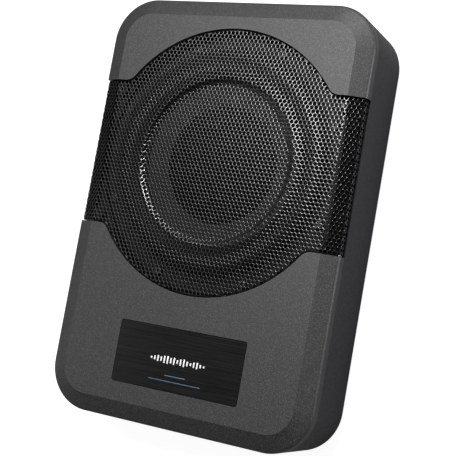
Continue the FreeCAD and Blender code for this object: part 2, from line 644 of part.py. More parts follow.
def surround():
    """Half-roll rubber surround between the cone and the basket."""
    lip = [vec(r, 0, z) for r, z in SURROUND_LIP]
    foot = [vec(r, 0, z) for r, z in SURROUND_FOOT]
    under, over = [vec(r, 0, z) for r, z in SURROUND_ROLL]
    return turned([line(lip[0], lip[1]), arc(lip[1], under, foot[0]), line(foot[0], foot[1]),
                   line(foot[1], foot[2]), line(foot[2], foot[3]), arc(foot[3], over, lip[2]),
                   line(lip[2], lip[3]), line(lip[3], lip[0])])


def cone():
    return lathe(CONE_PROFILE)


def dome(base_r, base_z, crown_z):
    """Middle and top points of an arc that rises from the rim to the axis, centred on the axis."""
    rise = crown_z - base_z
    radius = (base_r ** 2 + rise ** 2) / (2 * rise)
    mid_r = base_r / 2
    return vec(mid_r, 0, crown_z - radius + math.sqrt(radius ** 2 - mid_r ** 2)), vec(0, 0, crown_z)


def dust_cap():
    a = vec(CAP_R, 0, CAP_SEAT_Z)
    b = vec(CAP_R, 0, CAP_SEAT_Z + CAP_T)
    e = vec(CAP_R - CAP_RIM_W, 0, CAP_SEAT_Z)
    mid_out, c = dome(CAP_R, CAP_SEAT_Z + CAP_T, CAP_CROWN_Z)
    mid_in, d = dome(CAP_R - CAP_RIM_W, CAP_SEAT_Z, CAP_CROWN_Z - CAP_T)
    return turned([line(a, b), arc(b, mid_out, c), line(c, d), arc(d, mid_in, e), line(e, a)])


def spider():
    """Corrugated centring disc between the coil former and the basket ledge."""
    level = LEDGE_Z + SPIDER_T
    inner = FORMER_R[1]
    outer = LEDGE_R[0] - 2
    first = inner + SPIDER_FLAT_W
    top = [(inner, level), (first, level)]
    for i in range(1, 2 * SPIDER_WAVES):
        up = SPIDER_WAVE_H if i % 2 else -SPIDER_WAVE_H
        top.append((first + (outer - first) * i / (2 * SPIDER_WAVES), level + up))
    top += [(outer, level), (LEDGE_R[1] - 1, level)]
    bottom = [(r, z - SPIDER_T) for r, z in reversed(top)]
    return lathe(top + bottom)


def coil_former():
    return tube(0, DRIVER_Y, FORMER_Z[0], FORMER_Z[1], FORMER_R[0], FORMER_R[1])


def coil_winding():
    return tube(0, DRIVER_Y, WINDING_Z[0], WINDING_Z[1], FORMER_R[1], WINDING_R)


def top_plate():
    return tube(0, DRIVER_Y, MAGNET_TOP_Z, MOTOR_TOP_Z, TOP_PLATE_HOLE_R, TOP_PLATE_R)


def magnet():
    return tube(0, DRIVER_Y, MAGNET_LOW_Z, MAGNET_TOP_Z, MAGNET_HOLE_R, MAGNET_R)


def yoke():
    """Back plate and pole in one, with a vent through the pole."""
    return lathe(((VENT_R, YOKE_LOW_Z), (TOP_PLATE_R - YOKE_CHAMFER, YOKE_LOW_Z),
                  (TOP_PLATE_R, YOKE_LOW_Z + YOKE_CHAMFER), (TOP_PLATE_R, MAGNET_LOW_Z),
                  (POLE_R, MAGNET_LOW_Z), (POLE_R, POLE_TOP_Z), (VENT_R, POLE_TOP_Z)))


def terminal_block():
    return box(-TERMINAL_HALF_W, TERMINAL_HALF_W, TERMINAL_Y - TERMINAL_Y_SPAN[0],
               TERMINAL_Y + TERMINAL_Y_SPAN[1], TERMINAL_LOW_Z + BLADE_H, TERMINAL_TOP_Z)


def terminal_blades():
    half_x, half_y = BLADE_HALF
    return Part.makeCompound([box(x - half_x, x + half_x, TERMINAL_Y - half_y, TERMINAL_Y + half_y,
                                  TERMINAL_LOW_Z, TERMINAL_LOW_Z + BLADE_H) for x in (-LEAD_X, LEAD_X)])


def lead_tube(points, r):
    """Round lead along straight runs, with the largest tangent arcs that the runs allow."""
    corners = [vec(*p) for p in points]
    edges = []
    start = corners[0]
    for i in range(1, len(corners) - 1):
        before = corners[i].sub(corners[i - 1])
        after = corners[i + 1].sub(corners[i])
        turn = before.getAngle(after)
        setback = 0.45 * min(before.Length, after.Length)
        radius = setback / math.tan(turn / 2)
        print("lead arc radius %.2f mm" % radius)
        before.normalize()
        after.normalize()
        first = corners[i].sub(before.multiply(setback))
        last = corners[i].add(after.multiply(setback))
        before.normalize()
        after.normalize()
        inward = after.sub(before)
        inward.normalize()
        mid = corners[i].add(inward.multiply(radius / math.cos(turn / 2) - radius))
        edges.append(line(start, first))
        edges.append(arc(first, mid, last))
        start = last
    edges.append(line(start, corners[-1]))
    path = Part.Wire(edges)
    ahead = corners[1].sub(corners[0])
    section = Part.Wire([Part.Circle(corners[0], ahead, r).toShape()])
    solid = path.makePipeShell([section], True, False)
    print("lead volume %.1f, section times length %.1f" % (solid.Volume, math.pi * r * r * path.Length))
    return solid


def speaker_lead(x):
    route = ((x, BOARD_Y[1], LEAD_Z), (x, TERMINAL_Y, LEAD_Z), (x, TERMINAL_Y, TERMINAL_LOW_Z))
    return lead_tube(route, LEAD_R)


def tinsel_leads():
    """Two thin flexible leads from the terminals to the cone."""
    return Part.makeCompound([lead_tube([(x, y, z) for y, z in TINSEL_ROUTE], TINSEL_R)
                              for x in (-TINSEL_X, TINSEL_X)])


# --- amplifier parts -------------------------------------------------------
def amp_board():
    board = box(-BOARD_X, BOARD_X, BOARD_Y[0], BOARD_Y[1], BOARD_LOW_Z, BOARD_TOP_Z)
    hole_r = M3_R + 0.1
    return cut_all(board, [rod(x, y, BOARD_LOW_Z - 1, BOARD_TOP_Z + 1, hole_r) for x, y in BOARD_SCREWS])


def board_screws():
    return placed(pan_screw(M3_R, BOARD_SCREW_L, BOARD_HEAD, False), BOARD_SCREWS, BOARD_TOP_Z)


def heat_spreader():
    back = box(-SPREADER_HALF_W, SPREADER_HALF_W, SPREADER_Y[0], SPREADER_Y[1], BOARD_TOP_Z, SPREADER_TOP_Z)
    fins = []
    for x in FIN_X:
        for middle in (x, -x):
            fins.append(box(middle - FIN_HALF_T, middle + FIN_HALF_T, SPREADER_Y[1] - LAP, FIN_Y,
                            BOARD_TOP_Z + FIN_UP, SPREADER_TOP_Z))
    return fuse_all([back] + fins)


def power_transistors():
    solids = []
    for x in TRANSISTOR_X:
        pack = box(x - TRANSISTOR_HALF_W, x + TRANSISTOR_HALF_W, SPREADER_Y[0] - TRANSISTOR_T, SPREADER_Y[0],
                   TRANSISTOR_Z[0], TRANSISTOR_Z[1])
        legs = [box(x + d - LEG_HALF_W, x + d + LEG_HALF_W, LEG_Y[0], LEG_Y[1], BOARD_TOP_Z,
                    TRANSISTOR_Z[0] + LAP) for d in LEG_X]
        solids.append(fuse_all([pack] + legs))
    return Part.makeCompound(solids)


def filter_capacitors():
    can = Part.makeCylinder(CAPACITOR_R, CAPACITOR_H)
    top = [e for e in can.Edges if e.BoundBox.ZMin > CAPACITOR_H - 0.1]
    groove = tube(0, 0, CAPACITOR_GROOVE[0], CAPACITOR_GROOVE[1], CAPACITOR_GROOVE[2], CAPACITOR_R + 1)
    can = can.makeFillet(CAPACITOR_ROUND, top[:1]).cut(groove)
    return placed(can, CAPACITORS, BOARD_TOP_Z)


def power_transformer():
    x, y = TRANSFORMER_AT
    return Part.makeTorus(TRANSFORMER_R[0], TRANSFORMER_R[1], vec(x, y, BOARD_TOP_Z + TRANSFORMER_R[1]))


def output_inductors():
    top = BOBBIN_H - BOBBIN_FLANGE_T
    bobbin = fuse_all([Part.makeCylinder(BOBBIN_R, BOBBIN_FLANGE_T),
                       Part.makeCylinder(BOBBIN_WOUND_R, top, vec(0, 0, 1)),
                       Part.makeCylinder(BOBBIN_R, BOBBIN_FLANGE_T, vec(0, 0, top))])
    return placed(bobbin, INDUCTORS, BOARD_TOP_Z)


def control_chips():
    return Part.makeCompound([box(x - w / 2, x + w / 2, y - CHIP_HALF_L, y + CHIP_HALF_L,
                                  BOARD_TOP_Z, BOARD_TOP_Z + CHIP_H) for x, y, w in CHIPS])


def speaker_header():
    return box(-HEADER_HALF_W, HEADER_HALF_W, HEADER_Y, BOARD_Y[1], BOARD_TOP_Z, HEADER_TOP_Z)


def cable_grommet():
    ends = (PARTITION_Y - GROMMET_HALF_L, PARTITION_Y + GROMMET_HALF_L)
    body = rod_y(0, LEAD_Z, ends[0], ends[1], GROMMET_R + GROMMET_LIP)
    groove = rod_y(0, LEAD_Z, PARTITION_Y - PARTITION_T / 2, PARTITION_Y + PARTITION_T / 2,
                   GROMMET_R + GROMMET_LIP + 1)
    groove = groove.cut(rod_y(0, LEAD_Z, ends[0], ends[1], GROMMET_R))
    holes = [rod_y(x, LEAD_Z, ends[0], ends[1], LEAD_R) for x in (-LEAD_X, LEAD_X)]
    return cut_all(body, [groove] + holes)


# --- connector panel and controls ------------------------------------------
def connector_panel():
    plate = box(-BAY_X + PANEL_GAP, BAY_X - PANEL_GAP, PANEL_Y, PANEL_BACK_Y,
                BAY_Z[0] + PANEL_GAP, BAY_Z[1] - PANEL_GAP)
    ends = [e for e in plate.Edges if e.BoundBox.YLength > PANEL_PLATE_T - 0.01 and e.BoundBox.XLength < 0.01]
    plate = plate.makeFillet(PANEL_CORNER_R, ends)
    y0 = PANEL_Y - 1
    y1 = PANEL_BACK_Y + 1
    tools = [rod_y(x, z, y0, y1, M3_R + 0.1) for x, z in panel_screw_spots()]
    tools += [rod_y(x, AXIS_Z, y0, y1, SHAFT_R + 0.6) for x in (LEVEL_X, LOWPASS_X)]
    tools += [rod_y(x, AXIS_Z, y0, y1, RCA_NECK_R) for x in RCA_X]
    tools.append(rod_y(REMOTE_X, AXIS_Z, y0, y1, REMOTE_HOLE_R))
    tools.append(rod_y(PHASE_X, AXIS_Z + LED_UP, y0, y1, LED_R))
    tools.append(box(SOCKET_X - SOCKET_W / 2, SOCKET_X + SOCKET_W / 2, y0, y1,
                     AXIS_Z - SOCKET_H / 2, AXIS_Z + SOCKET_H / 2))
    tools.append(slider_slot(y0, y1))
    return cut_all(plate, tools)


def slider_slot(y0, y1):
    half_x = (SLIDER_W + SLIDER_TRAVEL) / 2 + SLIDER_GAP[0]
    half_z = SLIDER_H / 2 + SLIDER_GAP[1]
    return box(PHASE_X - half_x, PHASE_X + half_x, y0, y1, AXIS_Z - half_z, AXIS_Z + half_z)


def panel_screws():
    screw = pan_screw(M3_R, PANEL_SCREW_L, PANEL_HEAD, False)
    screw.rotate(vec(0, 0, 0), vec(1, 0, 0), 90)
    copies = []
    for x, z in panel_screw_spots():
        one = screw.copy()
        one.translate(vec(x, PANEL_Y, z))
        copies.append(one)
    return Part.makeCompound(copies)


def rca_housing():
    block = box(RCA_X[0] - RCA_BLOCK, RCA_X[1] + RCA_BLOCK, PANEL_BACK_Y, BEHIND_Y, BOARD_TOP_Z,
                AXIS_Z + RCA_BLOCK_TOP)
    deep = PANEL_BACK_Y + RCA_DEPTH
    return cut_all(block, [rod_y(x, AXIS_Z, PANEL_BACK_Y - 1, deep, RCA_NECK_R) for x in RCA_X])


def rca_shell(x):
    end_y = PANEL_BACK_Y + RCA_DEPTH
    neck = rod_y(x, AXIS_Z, PANEL_Y - 0.5, end_y, RCA_NECK_R)
    barrel = rod_y(x, AXIS_Z, OUT_Y, PANEL_Y, RCA_R).fuse(neck)
    return barrel.cut(rod_y(x, AXIS_Z, OUT_Y - 1, end_y + 1, RCA_NECK_R - RCA_BARREL_T))


def rca_shells():
    return Part.makeCompound([rca_shell(x) for x in RCA_X])


def rca_insert(x):
    plug = rod_y(x, AXIS_Z, OUT_Y + RCA_INSERT_BACK, PANEL_BACK_Y + RCA_DEPTH, RCA_NECK_R - RCA_BARREL_T)
    return plug.cut(rod_y(x, AXIS_Z, OUT_Y, PANEL_BACK_Y + 1, RCA_BORE_R))


def power_socket():
    half_w = SOCKET_W / 2
    half_h = SOCKET_H / 2
    low_z = AXIS_Z - half_h
    block = box(SOCKET_X - half_w, SOCKET_X + half_w, OUT_Y, BEHIND_Y, low_z, AXIS_Z + half_h)
    foot = box(SOCKET_X - half_w + 2, SOCKET_X + half_w - 2, BOARD_Y[0], BEHIND_Y, BOARD_TOP_Z, low_z)
    mouth = box(SOCKET_X - half_w + SOCKET_WALL, SOCKET_X + half_w - SOCKET_WALL, OUT_Y - 1, PANEL_Y + 1,
                low_z + SOCKET_WALL, AXIS_Z + half_h - SOCKET_WALL)
    return fuse_all([block, foot]).cut(mouth)


def socket_pins():
    pins = []
    for i in range(PIN_COUNT):
        x = SOCKET_X + (i - (PIN_COUNT - 1) / 2) * PIN_PITCH
        for z in (AXIS_Z - PIN_ROW, AXIS_Z + PIN_ROW):
            pins.append(box(x - PIN_HALF_W, x + PIN_HALF_W, PANEL_Y - PIN_OUT, PANEL_Y + 1,
                            z - PIN_HALF_W, z + PIN_HALF_W))
    return Part.makeCompound(pins)


def remote_jack():
    block = box(REMOTE_X - POT_HALF_W, REMOTE_X + POT_HALF_W, PANEL_BACK_Y, BEHIND_Y, BOARD_TOP_Z,
                AXIS_Z + POT_HALF_W)
    bush = rod_y(REMOTE_X, AXIS_Z, PANEL_Y - REMOTE_OUT, PANEL_BACK_Y + LAP, REMOTE_BUSH_R)
    bore = rod_y(REMOTE_X, AXIS_Z, PANEL_Y - REMOTE_OUT - 1, PANEL_BACK_Y + 8, REMOTE_BORE_R)
    return fuse_all([block, bush]).cut(bore)


def phase_switch_body():
    left = PHASE_X - SWITCH_HALF_W
    right = PHASE_X + SWITCH_HALF_W
    block = box(left, right, PANEL_BACK_Y, PANEL_BACK_Y + SWITCH_DEPTH, BOARD_TOP_Z, AXIS_Z + SWITCH_TOP)
    foot = box(left, right, BOARD_Y[0], BEHIND_Y, BOARD_TOP_Z, BOARD_TOP_Z + 3)
    return fuse_all([block, foot]).cut(slider_slot(PANEL_BACK_Y - 1, PANEL_BACK_Y + 3))


def phase_switch_slider():
    left = PHASE_X - (SLIDER_W + SLIDER_TRAVEL) / 2
    return box(left, left + SLIDER_W, PANEL_Y - SLIDER_OUT, PANEL_BACK_Y + SLIDER_IN,
               AXIS_Z - SLIDER_H / 2, AXIS_Z + SLIDER_H / 2)


def pot_body(x):
    block = box(x - POT_HALF_W, x + POT_HALF_W, PANEL_BACK_Y, BEHIND_Y, BOARD_TOP_Z, AXIS_Z + POT_HALF_W)
    return block.cut(rod_y(x, AXIS_Z, PANEL_BACK_Y - 1, PANEL_BACK_Y + POT_BORE_DEPTH, SHAFT_R + 0.05))


def pot_shaft(x):
    return rod_y(x, AXIS_Z, PANEL_Y - SHAFT_OUT, PANEL_BACK_Y + POT_BORE_DEPTH - 0.3, SHAFT_R)


def control_knob(x):
    """Fluted knob with a pointer groove on its face, pressed on its shaft."""
    back_y = PANEL_Y - KNOB_GAP
    knob = rod_y(0, 0, OUT_Y, back_y, KNOB_R)
    front = [e for e in knob.Edges if e.BoundBox.YMax < OUT_Y + 0.01]
    knob = knob.makeChamfer(KNOB_CHAMFER, front[:1])
    tools = [rod_y(0, 0, PANEL_Y - SHAFT_OUT, back_y + 1, SHAFT_R)]
    tools.append(box(-0.5, 0.5, OUT_Y - 1, OUT_Y + 0.5, 1.5, KNOB_R))
    for i in range(KNOB_FLUTES):
        a = 2 * math.pi * (i + 0.5) / KNOB_FLUTES
        tools.append(rod_y(FLUTE_PCR * math.cos(a), FLUTE_PCR * math.sin(a), OUT_Y - 1, back_y - 1.5,
                           FLUTE_R))
    knob = cut_all(knob, tools)
    knob.translate(vec(x, 0, AXIS_Z))
    return knob


def power_led():
    stem = rod_y(PHASE_X, AXIS_Z + LED_UP, PANEL_Y - LED_OUT, PANEL_BACK_Y, LED_R)
    tip = Part.makeSphere(LED_R, vec(PHASE_X, PANEL_Y - LED_OUT, AXIS_Z + LED_UP))
    return stem.fuse(tip).removeSplitter()


# --- export ----------------------------------------------------------------
def all_parts():
    return {
        "rear_chassis": rear_chassis(),
        "rubber_feet": rubber_feet(),
        "body_seal": body_seal(),
        "baffle_frame": baffle_frame(),
        "upper_trim_panel": trim_panel(1),
        "lower_trim_panel": trim_panel(-1),
        "badge_plate": badge_plate(),
        "grille": grille(),
        "grille_foam": grille_foam(),
        "grille_nuts": grille_nuts(),
        "cover_screws": cover_screws(),
        "trim_screws": trim_screws(),
        "driver_basket": driver_basket(),
        "driver_gasket": driver_gasket(),
        "driver_screws": driver_screws(),
        "surround": surround(),
        "cone": cone(),
        "dust_cap": dust_cap(),
        "spider": spider(),
        "coil_former": coil_former(),
        "coil_winding": coil_winding(),
        "top_plate": top_plate(),
        "magnet": magnet(),
        "yoke": yoke(),
        "terminal_block": terminal_block(),
        "terminal_blades": terminal_blades(),
        "tinsel_leads": tinsel_leads(),
        "speaker_lead_positive": speaker_lead(LEAD_X),
        "speaker_lead_negative": speaker_lead(-LEAD_X),
        "cable_grommet": cable_grommet(),
        "amp_board": amp_board(),
        "board_screws": board_screws(),
        "heat_spreader": heat_spreader(),
        "power_transistors": power_transistors(),
        "filter_capacitors": filter_capacitors(),
        "power_transformer": power_transformer(),
        "output_inductors": output_inductors(),
        "control_chips": control_chips(),
        "speaker_header": speaker_header(),
        "connector_panel": connector_panel(),
        "panel_screws": panel_screws(),
        "rca_housing": rca_housing(),
        "rca_shells": rca_shells(),
        "rca_insert_red": rca_insert(RCA_X[1]),
        "rca_insert_white": rca_insert(RCA_X[0]),
        "power_socket": power_socket(),
        "socket_pins": socket_pins(),
        "remote_jack": remote_jack(),
        "phase_switch_body": phase_switch_body(),
        "phase_switch_slider": phase_switch_slider(),
        "level_pot": pot_body(LEVEL_X),
        "level_shaft": pot_shaft(LEVEL_X),
        "level_knob": control_knob(LEVEL_X),
        "lowpass_pot": pot_body(LOWPASS_X),
        "lowpass_shaft": pot_shaft(LOWPASS_X),
        "lowpass_knob": control_knob(LOWPASS_X),
        "power_led": power_led(),
    }


def main():
    os.makedirs("parts", exist_ok=True)
    for name, shape in all_parts().items():
        b = shape.BoundBox
        print("%-24s valid %s solids %d volume %.1f box %.1f %.1f %.1f / %.1f %.1f %.1f"
              % (name, shape.isValid(), len(shape.Solids), shape.Volume,
                 b.XMin, b.YMin, b.ZMin, b.XMax, b.YMax, b.ZMax))
        shape.exportStep("parts/%s.step" % name)


main()
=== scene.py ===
import json
import math

import bmesh
import bpy
import numpy as np
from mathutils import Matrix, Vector


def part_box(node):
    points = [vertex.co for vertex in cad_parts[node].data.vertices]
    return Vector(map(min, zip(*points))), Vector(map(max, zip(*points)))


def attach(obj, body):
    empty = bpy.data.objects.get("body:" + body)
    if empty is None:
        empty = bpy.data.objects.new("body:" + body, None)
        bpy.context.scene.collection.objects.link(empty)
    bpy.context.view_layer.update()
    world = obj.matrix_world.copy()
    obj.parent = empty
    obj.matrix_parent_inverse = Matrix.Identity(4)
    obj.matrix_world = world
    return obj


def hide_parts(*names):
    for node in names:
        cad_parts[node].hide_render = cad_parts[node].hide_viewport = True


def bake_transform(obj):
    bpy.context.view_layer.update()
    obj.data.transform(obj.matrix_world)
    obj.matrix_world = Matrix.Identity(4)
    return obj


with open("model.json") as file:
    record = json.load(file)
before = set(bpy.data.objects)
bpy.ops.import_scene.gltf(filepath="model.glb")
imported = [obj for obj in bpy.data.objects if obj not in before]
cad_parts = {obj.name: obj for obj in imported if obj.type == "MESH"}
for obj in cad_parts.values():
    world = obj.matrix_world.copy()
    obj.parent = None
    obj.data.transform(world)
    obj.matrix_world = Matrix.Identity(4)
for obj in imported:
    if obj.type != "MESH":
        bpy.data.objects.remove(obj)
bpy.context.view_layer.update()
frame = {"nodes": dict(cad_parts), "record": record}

MM = 0.001

# All the sizes below are in mm, with x and y from the middle of the object and z from the floor.

# --- grille sheet ------------------------------------------------------------
GRILLE_LOW, GRILLE_HIGH = [corner * 1000 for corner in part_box("grille")]
AXIS_Y = (GRILLE_LOW.y + GRILLE_HIGH.y) / 2
ROUND_R = (GRILLE_HIGH.y - GRILLE_LOW.y) / 2
SIDE_X = GRILLE_HIGH.x
BAND_HALF = 59.7
CORNER_R = 10.5
SHEET_Z = 69.9
SHEET_T = 0.7
BEVEL_X = 101.7
BEVEL_ANGLE = math.atan2(5.1, 14.0)
BEVEL_BLEND = 0.35
BEVEL_BLEND_DROPS = (0.045, 0.14)
SHOULDER_Z = 65.13
FOLD_R = 2.1
FOLD_STEPS = 8
FLAP_LOW_Z = 57.9
EDGE_ROLL = 1.3
FLAP_ROLL_START = 9.0
FLAP_ROLL_BLEND = 3.0
# Height of the pressed rings over the sheet: (radius, lift).
RINGS = ((0.0, -0.6), (62.6, -0.6), (63.4, -0.5), (65.8, 0.72), (66.8, 0.92), (69.0, 0.9), (75.2, 0.22),
         (76.6, 0.17), (82.2, 0.43), (83.4, 0.5), (84.6, 0.47), (90.0, 0.05), (91.6, 0.0), (92.0, 0.0))

HOLE_PITCH = 3.54
HOLE_R = 1.59
HOLE_MIN_R = 0.45
HOLE_SIDES = 10
HOLE_MARGIN = 0.5
HOLE_EDGE_GAP = 0.3
RIM_TILT = 0.22

# --- studs and side foam behind the sheet -------------------------------------
STUD_X = 99.0
STUD_Y = 52.7
STUD_R = 1.5
STUD_LOW_Z = 54.5
STUD_TOP_Z = 69.15
STUD_THREAD_Z = 65.0
STUD_TIP = 0.5
STUD_STEPS = 140
STUD_SIDES = 20
THREAD_PITCH = 0.5
THREAD_DEPTH = 0.26
FOAM_START_X = 104.5
FOAM_LOW_Z = 60.5
FOAM_HALF_L = 58.9
FOAM_DEPTHS = (0.85, 1.6)

# --- soft parts of the driver -------------------------------------------------
SECTORS = 18
SECTOR_STEPS = 6
ROLL_STEPS = 14
# Surround: flat rims joined by a half roll; (radius, z) along its under and upper side.
SURROUND_RIMS = (66.0, 95.0)
SURROUND_UNDER = ((90.6, 58.2), (80.0, 64.1), (69.4, 58.75))
SURROUND_OVER = ((68.9, 59.7), (80.0, 65.0), (91.2, 59.2))
SURROUND_INNER_Z = (58.3, 59.3)
SPIDER_Z = 43.9
SPIDER_T = 0.7
SPIDER_RIMS = (19.4, 58.5)
SPIDER_WAVE_SPAN = (22.4, 52.5)
SPIDER_WAVES = 8
WAVE_STEPS = 8
LEAD_X = 6.0
LEAD_ROUTE = ((-30.5, 49.7), (-22.0, 46.9), (-5.0, 46.9), (3.5, 49.6))
LEAD_R = 0.45
LEAD_SIDES = 18
LEAD_STEP = 0.12
LEAD_GROOVE = 0.12
STRANDS = 6
STRAND_LAY = 4.5

# --- printed marks ------------------------------------------------------------
# Badge: heights of plain upright bars, and lines of (name, half length, half width, drop below the bars).
BADGE_BARS = (1.6, 3.0, 4.6, 3.4, 5.6, 6.0, 4.2, 5.4, 2.8, 4.8, 5.8, 3.6, 2.2, 4.0, 5.0, 2.6, 1.4)
BADGE_BAR_STEP = 2.9
BADGE_BAR_HALF = 0.65
BADGE_BAR_LIFT = 0.06
BADGE_MARK_Y = -0.5
BADGE_SINK = 0.02
BADGE_LINES = (("badge_line_short", 9.0, 0.35, 12.0), ("badge_line_long", 23.0, 0.28, 16.3))
BADGE_LINE_LIFT = 0.05
# Connector panel: scales round the two knobs, pointers on the knobs, marks at the phase switch.
MARK_SIDES = 12
MARK_LIFT = 0.05
MARK_HALF_W = 0.2
SCALE_MARKS = 11
SCALE_SWING = 150.0
SCALE_R = 7.5
SCALE_HALF_L = (0.95, 0.6)
POINTER_R = 3.8
POINTER_HALF = (2.2, 0.42)
POINTER_INSET = 0.4
POINTER_LIFT = 0.1
PHASE_TRAVEL = 4.0
PHASE_MARK_RISE = 4.0
PHASE_MARK_HALF_L = 0.8

# --- paint --------------------------------------------------------------------
SIDE_TONE_Z = 63.9
SIDE_TONE_BLUR = 0.2
PAINT_CLOUD_GAIN = 1.12

# --- camera and studio; places in metres, camera turn in degrees about x, y and z --------
CAMERA_PLACE = (0.3852, -0.07314, 0.7969)
CAMERA_TURN = (9.324, 25.309, 11.125)
CAMERA_LENS = 83.22
# Each light: direction it comes from, distance, width and height, power, and its target if not the body.
LIGHTS = {
    "softbox": ((-0.24, 0.46, 0.85), 1.3, (1.0, 0.95), 7.2),
    "key": ((-0.05, 0.34, 0.94), 1.3, (0.36, 0.36), 12.5),
    "top_fill": ((0.12, 0.8, 0.6), 1.3, (0.7, 0.4), 7.5),
    "side_fill": ((-0.8, -0.15, 0.58), 1.4, (0.7, 0.9), 2.6),
    "right_fill": ((0.72, 0.72, 0.5), 1.0, (0.16, 0.5), 1.3, (0.05, 0.1, 0.05)),
}
# A narrow light that brings up the edges of the housing without flooding the mesh.
EDGE_STRIP = ((0.93, 0.2, 0.16), 1.4, (0.3, 0.7), 13.5)
EDGE_STRIP_NODES = ("upper_trim_panel", "lower_trim_panel", "rear_chassis")
ROOM_LIGHT = 0.11
FLOOR_HALF = 6.0
FLOOR_Z = -0.0001
FLOOR_GLOW_CAST = 0.12
FLOOR_GLOW_SEEN = 0.92


# --- small helpers -----------------------------------------------------------
def mesh_object(name, points, faces, smooth=True):
    """New object from points in metres and faces of point numbers."""
    mesh = bpy.data.meshes.new(name)
    mesh.from_pydata([tuple(p) for p in points], [], [tuple(f) for f in faces])
    mesh.validate()
    if smooth:
        mesh.shade_smooth()
    obj = bpy.data.objects.new(name, mesh)
    bpy.context.scene.collection.objects.link(obj)
    return obj


def apply_modifiers(obj):
    graph = bpy.context.evaluated_depsgraph_get()
    made = bpy.data.meshes.new_from_object(obj.evaluated_get(graph), depsgraph=graph)
    obj.modifiers.clear()
    obj.data = made
    return obj


def bevelled_box(name, low, high, bevel):
    """Box with rounded edges, all in metres."""
    xs, ys, zs = zip(low, high)
    points = [(x, y, z) for z in zs for y in ys for x in xs]
    faces = [(0, 2, 3, 1), (4, 5, 7, 6), (0, 1, 5, 4), (2, 6, 7, 3), (0, 4, 6, 2), (1, 3, 7, 5)]
    obj = mesh_object(name, points, faces)
    mod = obj.modifiers.new("Bevel", "BEVEL")
    mod.width = bevel
    mod.segments = 2
    mod.limit_method = "ANGLE"
    return apply_modifiers(obj)


# --- materials ---------------------------------------------------------------
class Nodes:
    """Short way to build one material's node tree."""

    def __init__(self, name):
        self.mat = bpy.data.materials.new(name)
        self.mat.use_nodes = True
        self.tree = self.mat.node_tree
        self.tree.nodes.clear()
        self.out = self.add("ShaderNodeOutputMaterial")
        self.bsdf = self.add("ShaderNodeBsdfPrincipled")
        self.link(self.bsdf, "BSDF", self.out, "Surface")
        self.coords = self.add("ShaderNodeTexCoord")

    def add(self, kind, **values):
        node = self.tree.nodes.new(kind)
        for key, value in values.items():
            setattr(node, key, value)
        return node

    def link(self, a, out, b, into):
        self.tree.links.new(a.outputs[out], b.inputs[into])

    def noise(self, scale, detail=3.0, rough=0.55, stretch=None):
        node = self.add("ShaderNodeTexNoise")
        node.inputs["Scale"].default_value = scale
        node.inputs["Detail"].default_value = detail
        node.inputs["Roughness"].default_value = rough
        source = self.coords
        if stretch:
            source = self.add("ShaderNodeMapping")
            source.inputs["Scale"].default_value = stretch
            self.link(self.coords, "Object", source, "Vector")
            self.link(source, "Vector", node, "Vector")
        else:
            self.link(source, "Object", node, "Vector")
        return node

    def ramp(self, node, out, low, high, a, b):
        """Maps low..high of a value to a..b."""
        fit = self.add("ShaderNodeMapRange")
        self.link(node, out, fit, "Value")
        fit.inputs["From Min"].default_value = low
        fit.inputs["From Max"].default_value = high
        fit.inputs["To Min"].default_value = a
        fit.inputs["To Max"].default_value = b
        return fit

    def mix(self, factor, out, a, b):
        """Colour between a and b; each is a colour or a (node, output)."""
        node = self.add("ShaderNodeMix", data_type="RGBA")
        self.link(factor, out, node, 0)
        for value, index in ((a, 6), (b, 7)):
            if isinstance(value[0], bpy.types.Node):
                self.tree.links.new(value[0].outputs[value[1]], node.inputs[index])
            else:
                node.inputs[index].default_value = (*value, 1.0)
        return node

    def bump(self, node, out, strength, distance, before=None):
        made = self.add("ShaderNodeBump")
        made.inputs["Strength"].default_value = strength
        made.inputs["Distance"].default_value = distance
        self.link(node, out, made, "Height")
        if before:
            self.link(before, "Normal", made, "Normal")
        return made

    def edge(self, radius, low=0.02, high=0.25):
        """1 along outer edges, 0 on flat faces."""
        soft = self.add("ShaderNodeBevel", samples=4)
        soft.inputs["Radius"].default_value = radius
        hard = self.add("ShaderNodeNewGeometry")
        dot = self.add("ShaderNodeVectorMath", operation="DOT_PRODUCT")
        self.link(soft, "Normal", dot, 0)
        self.link(hard, "Normal", dot, 1)
        return self.ramp(dot, "Value", 1.0 - low, 1.0 - high, 0.0, 1.0)


def grey(level):
    return (level, level, level)


def finish_material(name, low, high, rough, metal=0.0, scale=60.0, bump=(0.2, 0.00005, 900.0), edge=None,
                    spec=0.5, coat=0.0, stretch=None):
    """Plain painted, moulded, plated or cast finish: two tones mixed by noise, roughness that
    varies, a fine bump (strength, depth, scale), and optionally worn edges (radius, tone, amount)."""
    n = Nodes(name)
    cloud = n.noise(scale, 4.0, 0.6, stretch)
    tone = n.mix(n.ramp(cloud, "Fac", 0.3, 0.7, 0.0, 1.0), "Result", low, high)
    if edge:
        edge_wear_and_highlight = n.edge(edge[0])
        patchy = n.noise(scale * 6, 3.0)
        gate = n.ramp(patchy, "Fac", 0.35, 0.6, 0.0, edge[2])
        both = n.add("ShaderNodeMath", operation="MULTIPLY")
        n.link(edge_wear_and_highlight, "Result", both, 0)
        n.link(gate, "Result", both, 1)
        tone = n.mix(both, "Value", (tone, 2), edge[1])
    n.link(tone, 2, n.bsdf, "Base Color")
    n.link(n.ramp(cloud, "Fac", 0.3, 0.7, rough[0], rough[1]), "Result", n.bsdf, "Roughness")
    grain = n.noise(bump[2], 3.0, 0.6, stretch)
    n.link(n.bump(grain, "Fac", bump[0], bump[1]), "Normal", n.bsdf, "Normal")
    n.bsdf.inputs["Metallic"].default_value = metal
    n.bsdf.inputs["Specular IOR Level"].default_value = spec
    n.bsdf.inputs["Coat Weight"].default_value = coat
    n.bsdf.inputs["Coat Roughness"].default_value = 0.1
    return n.mat


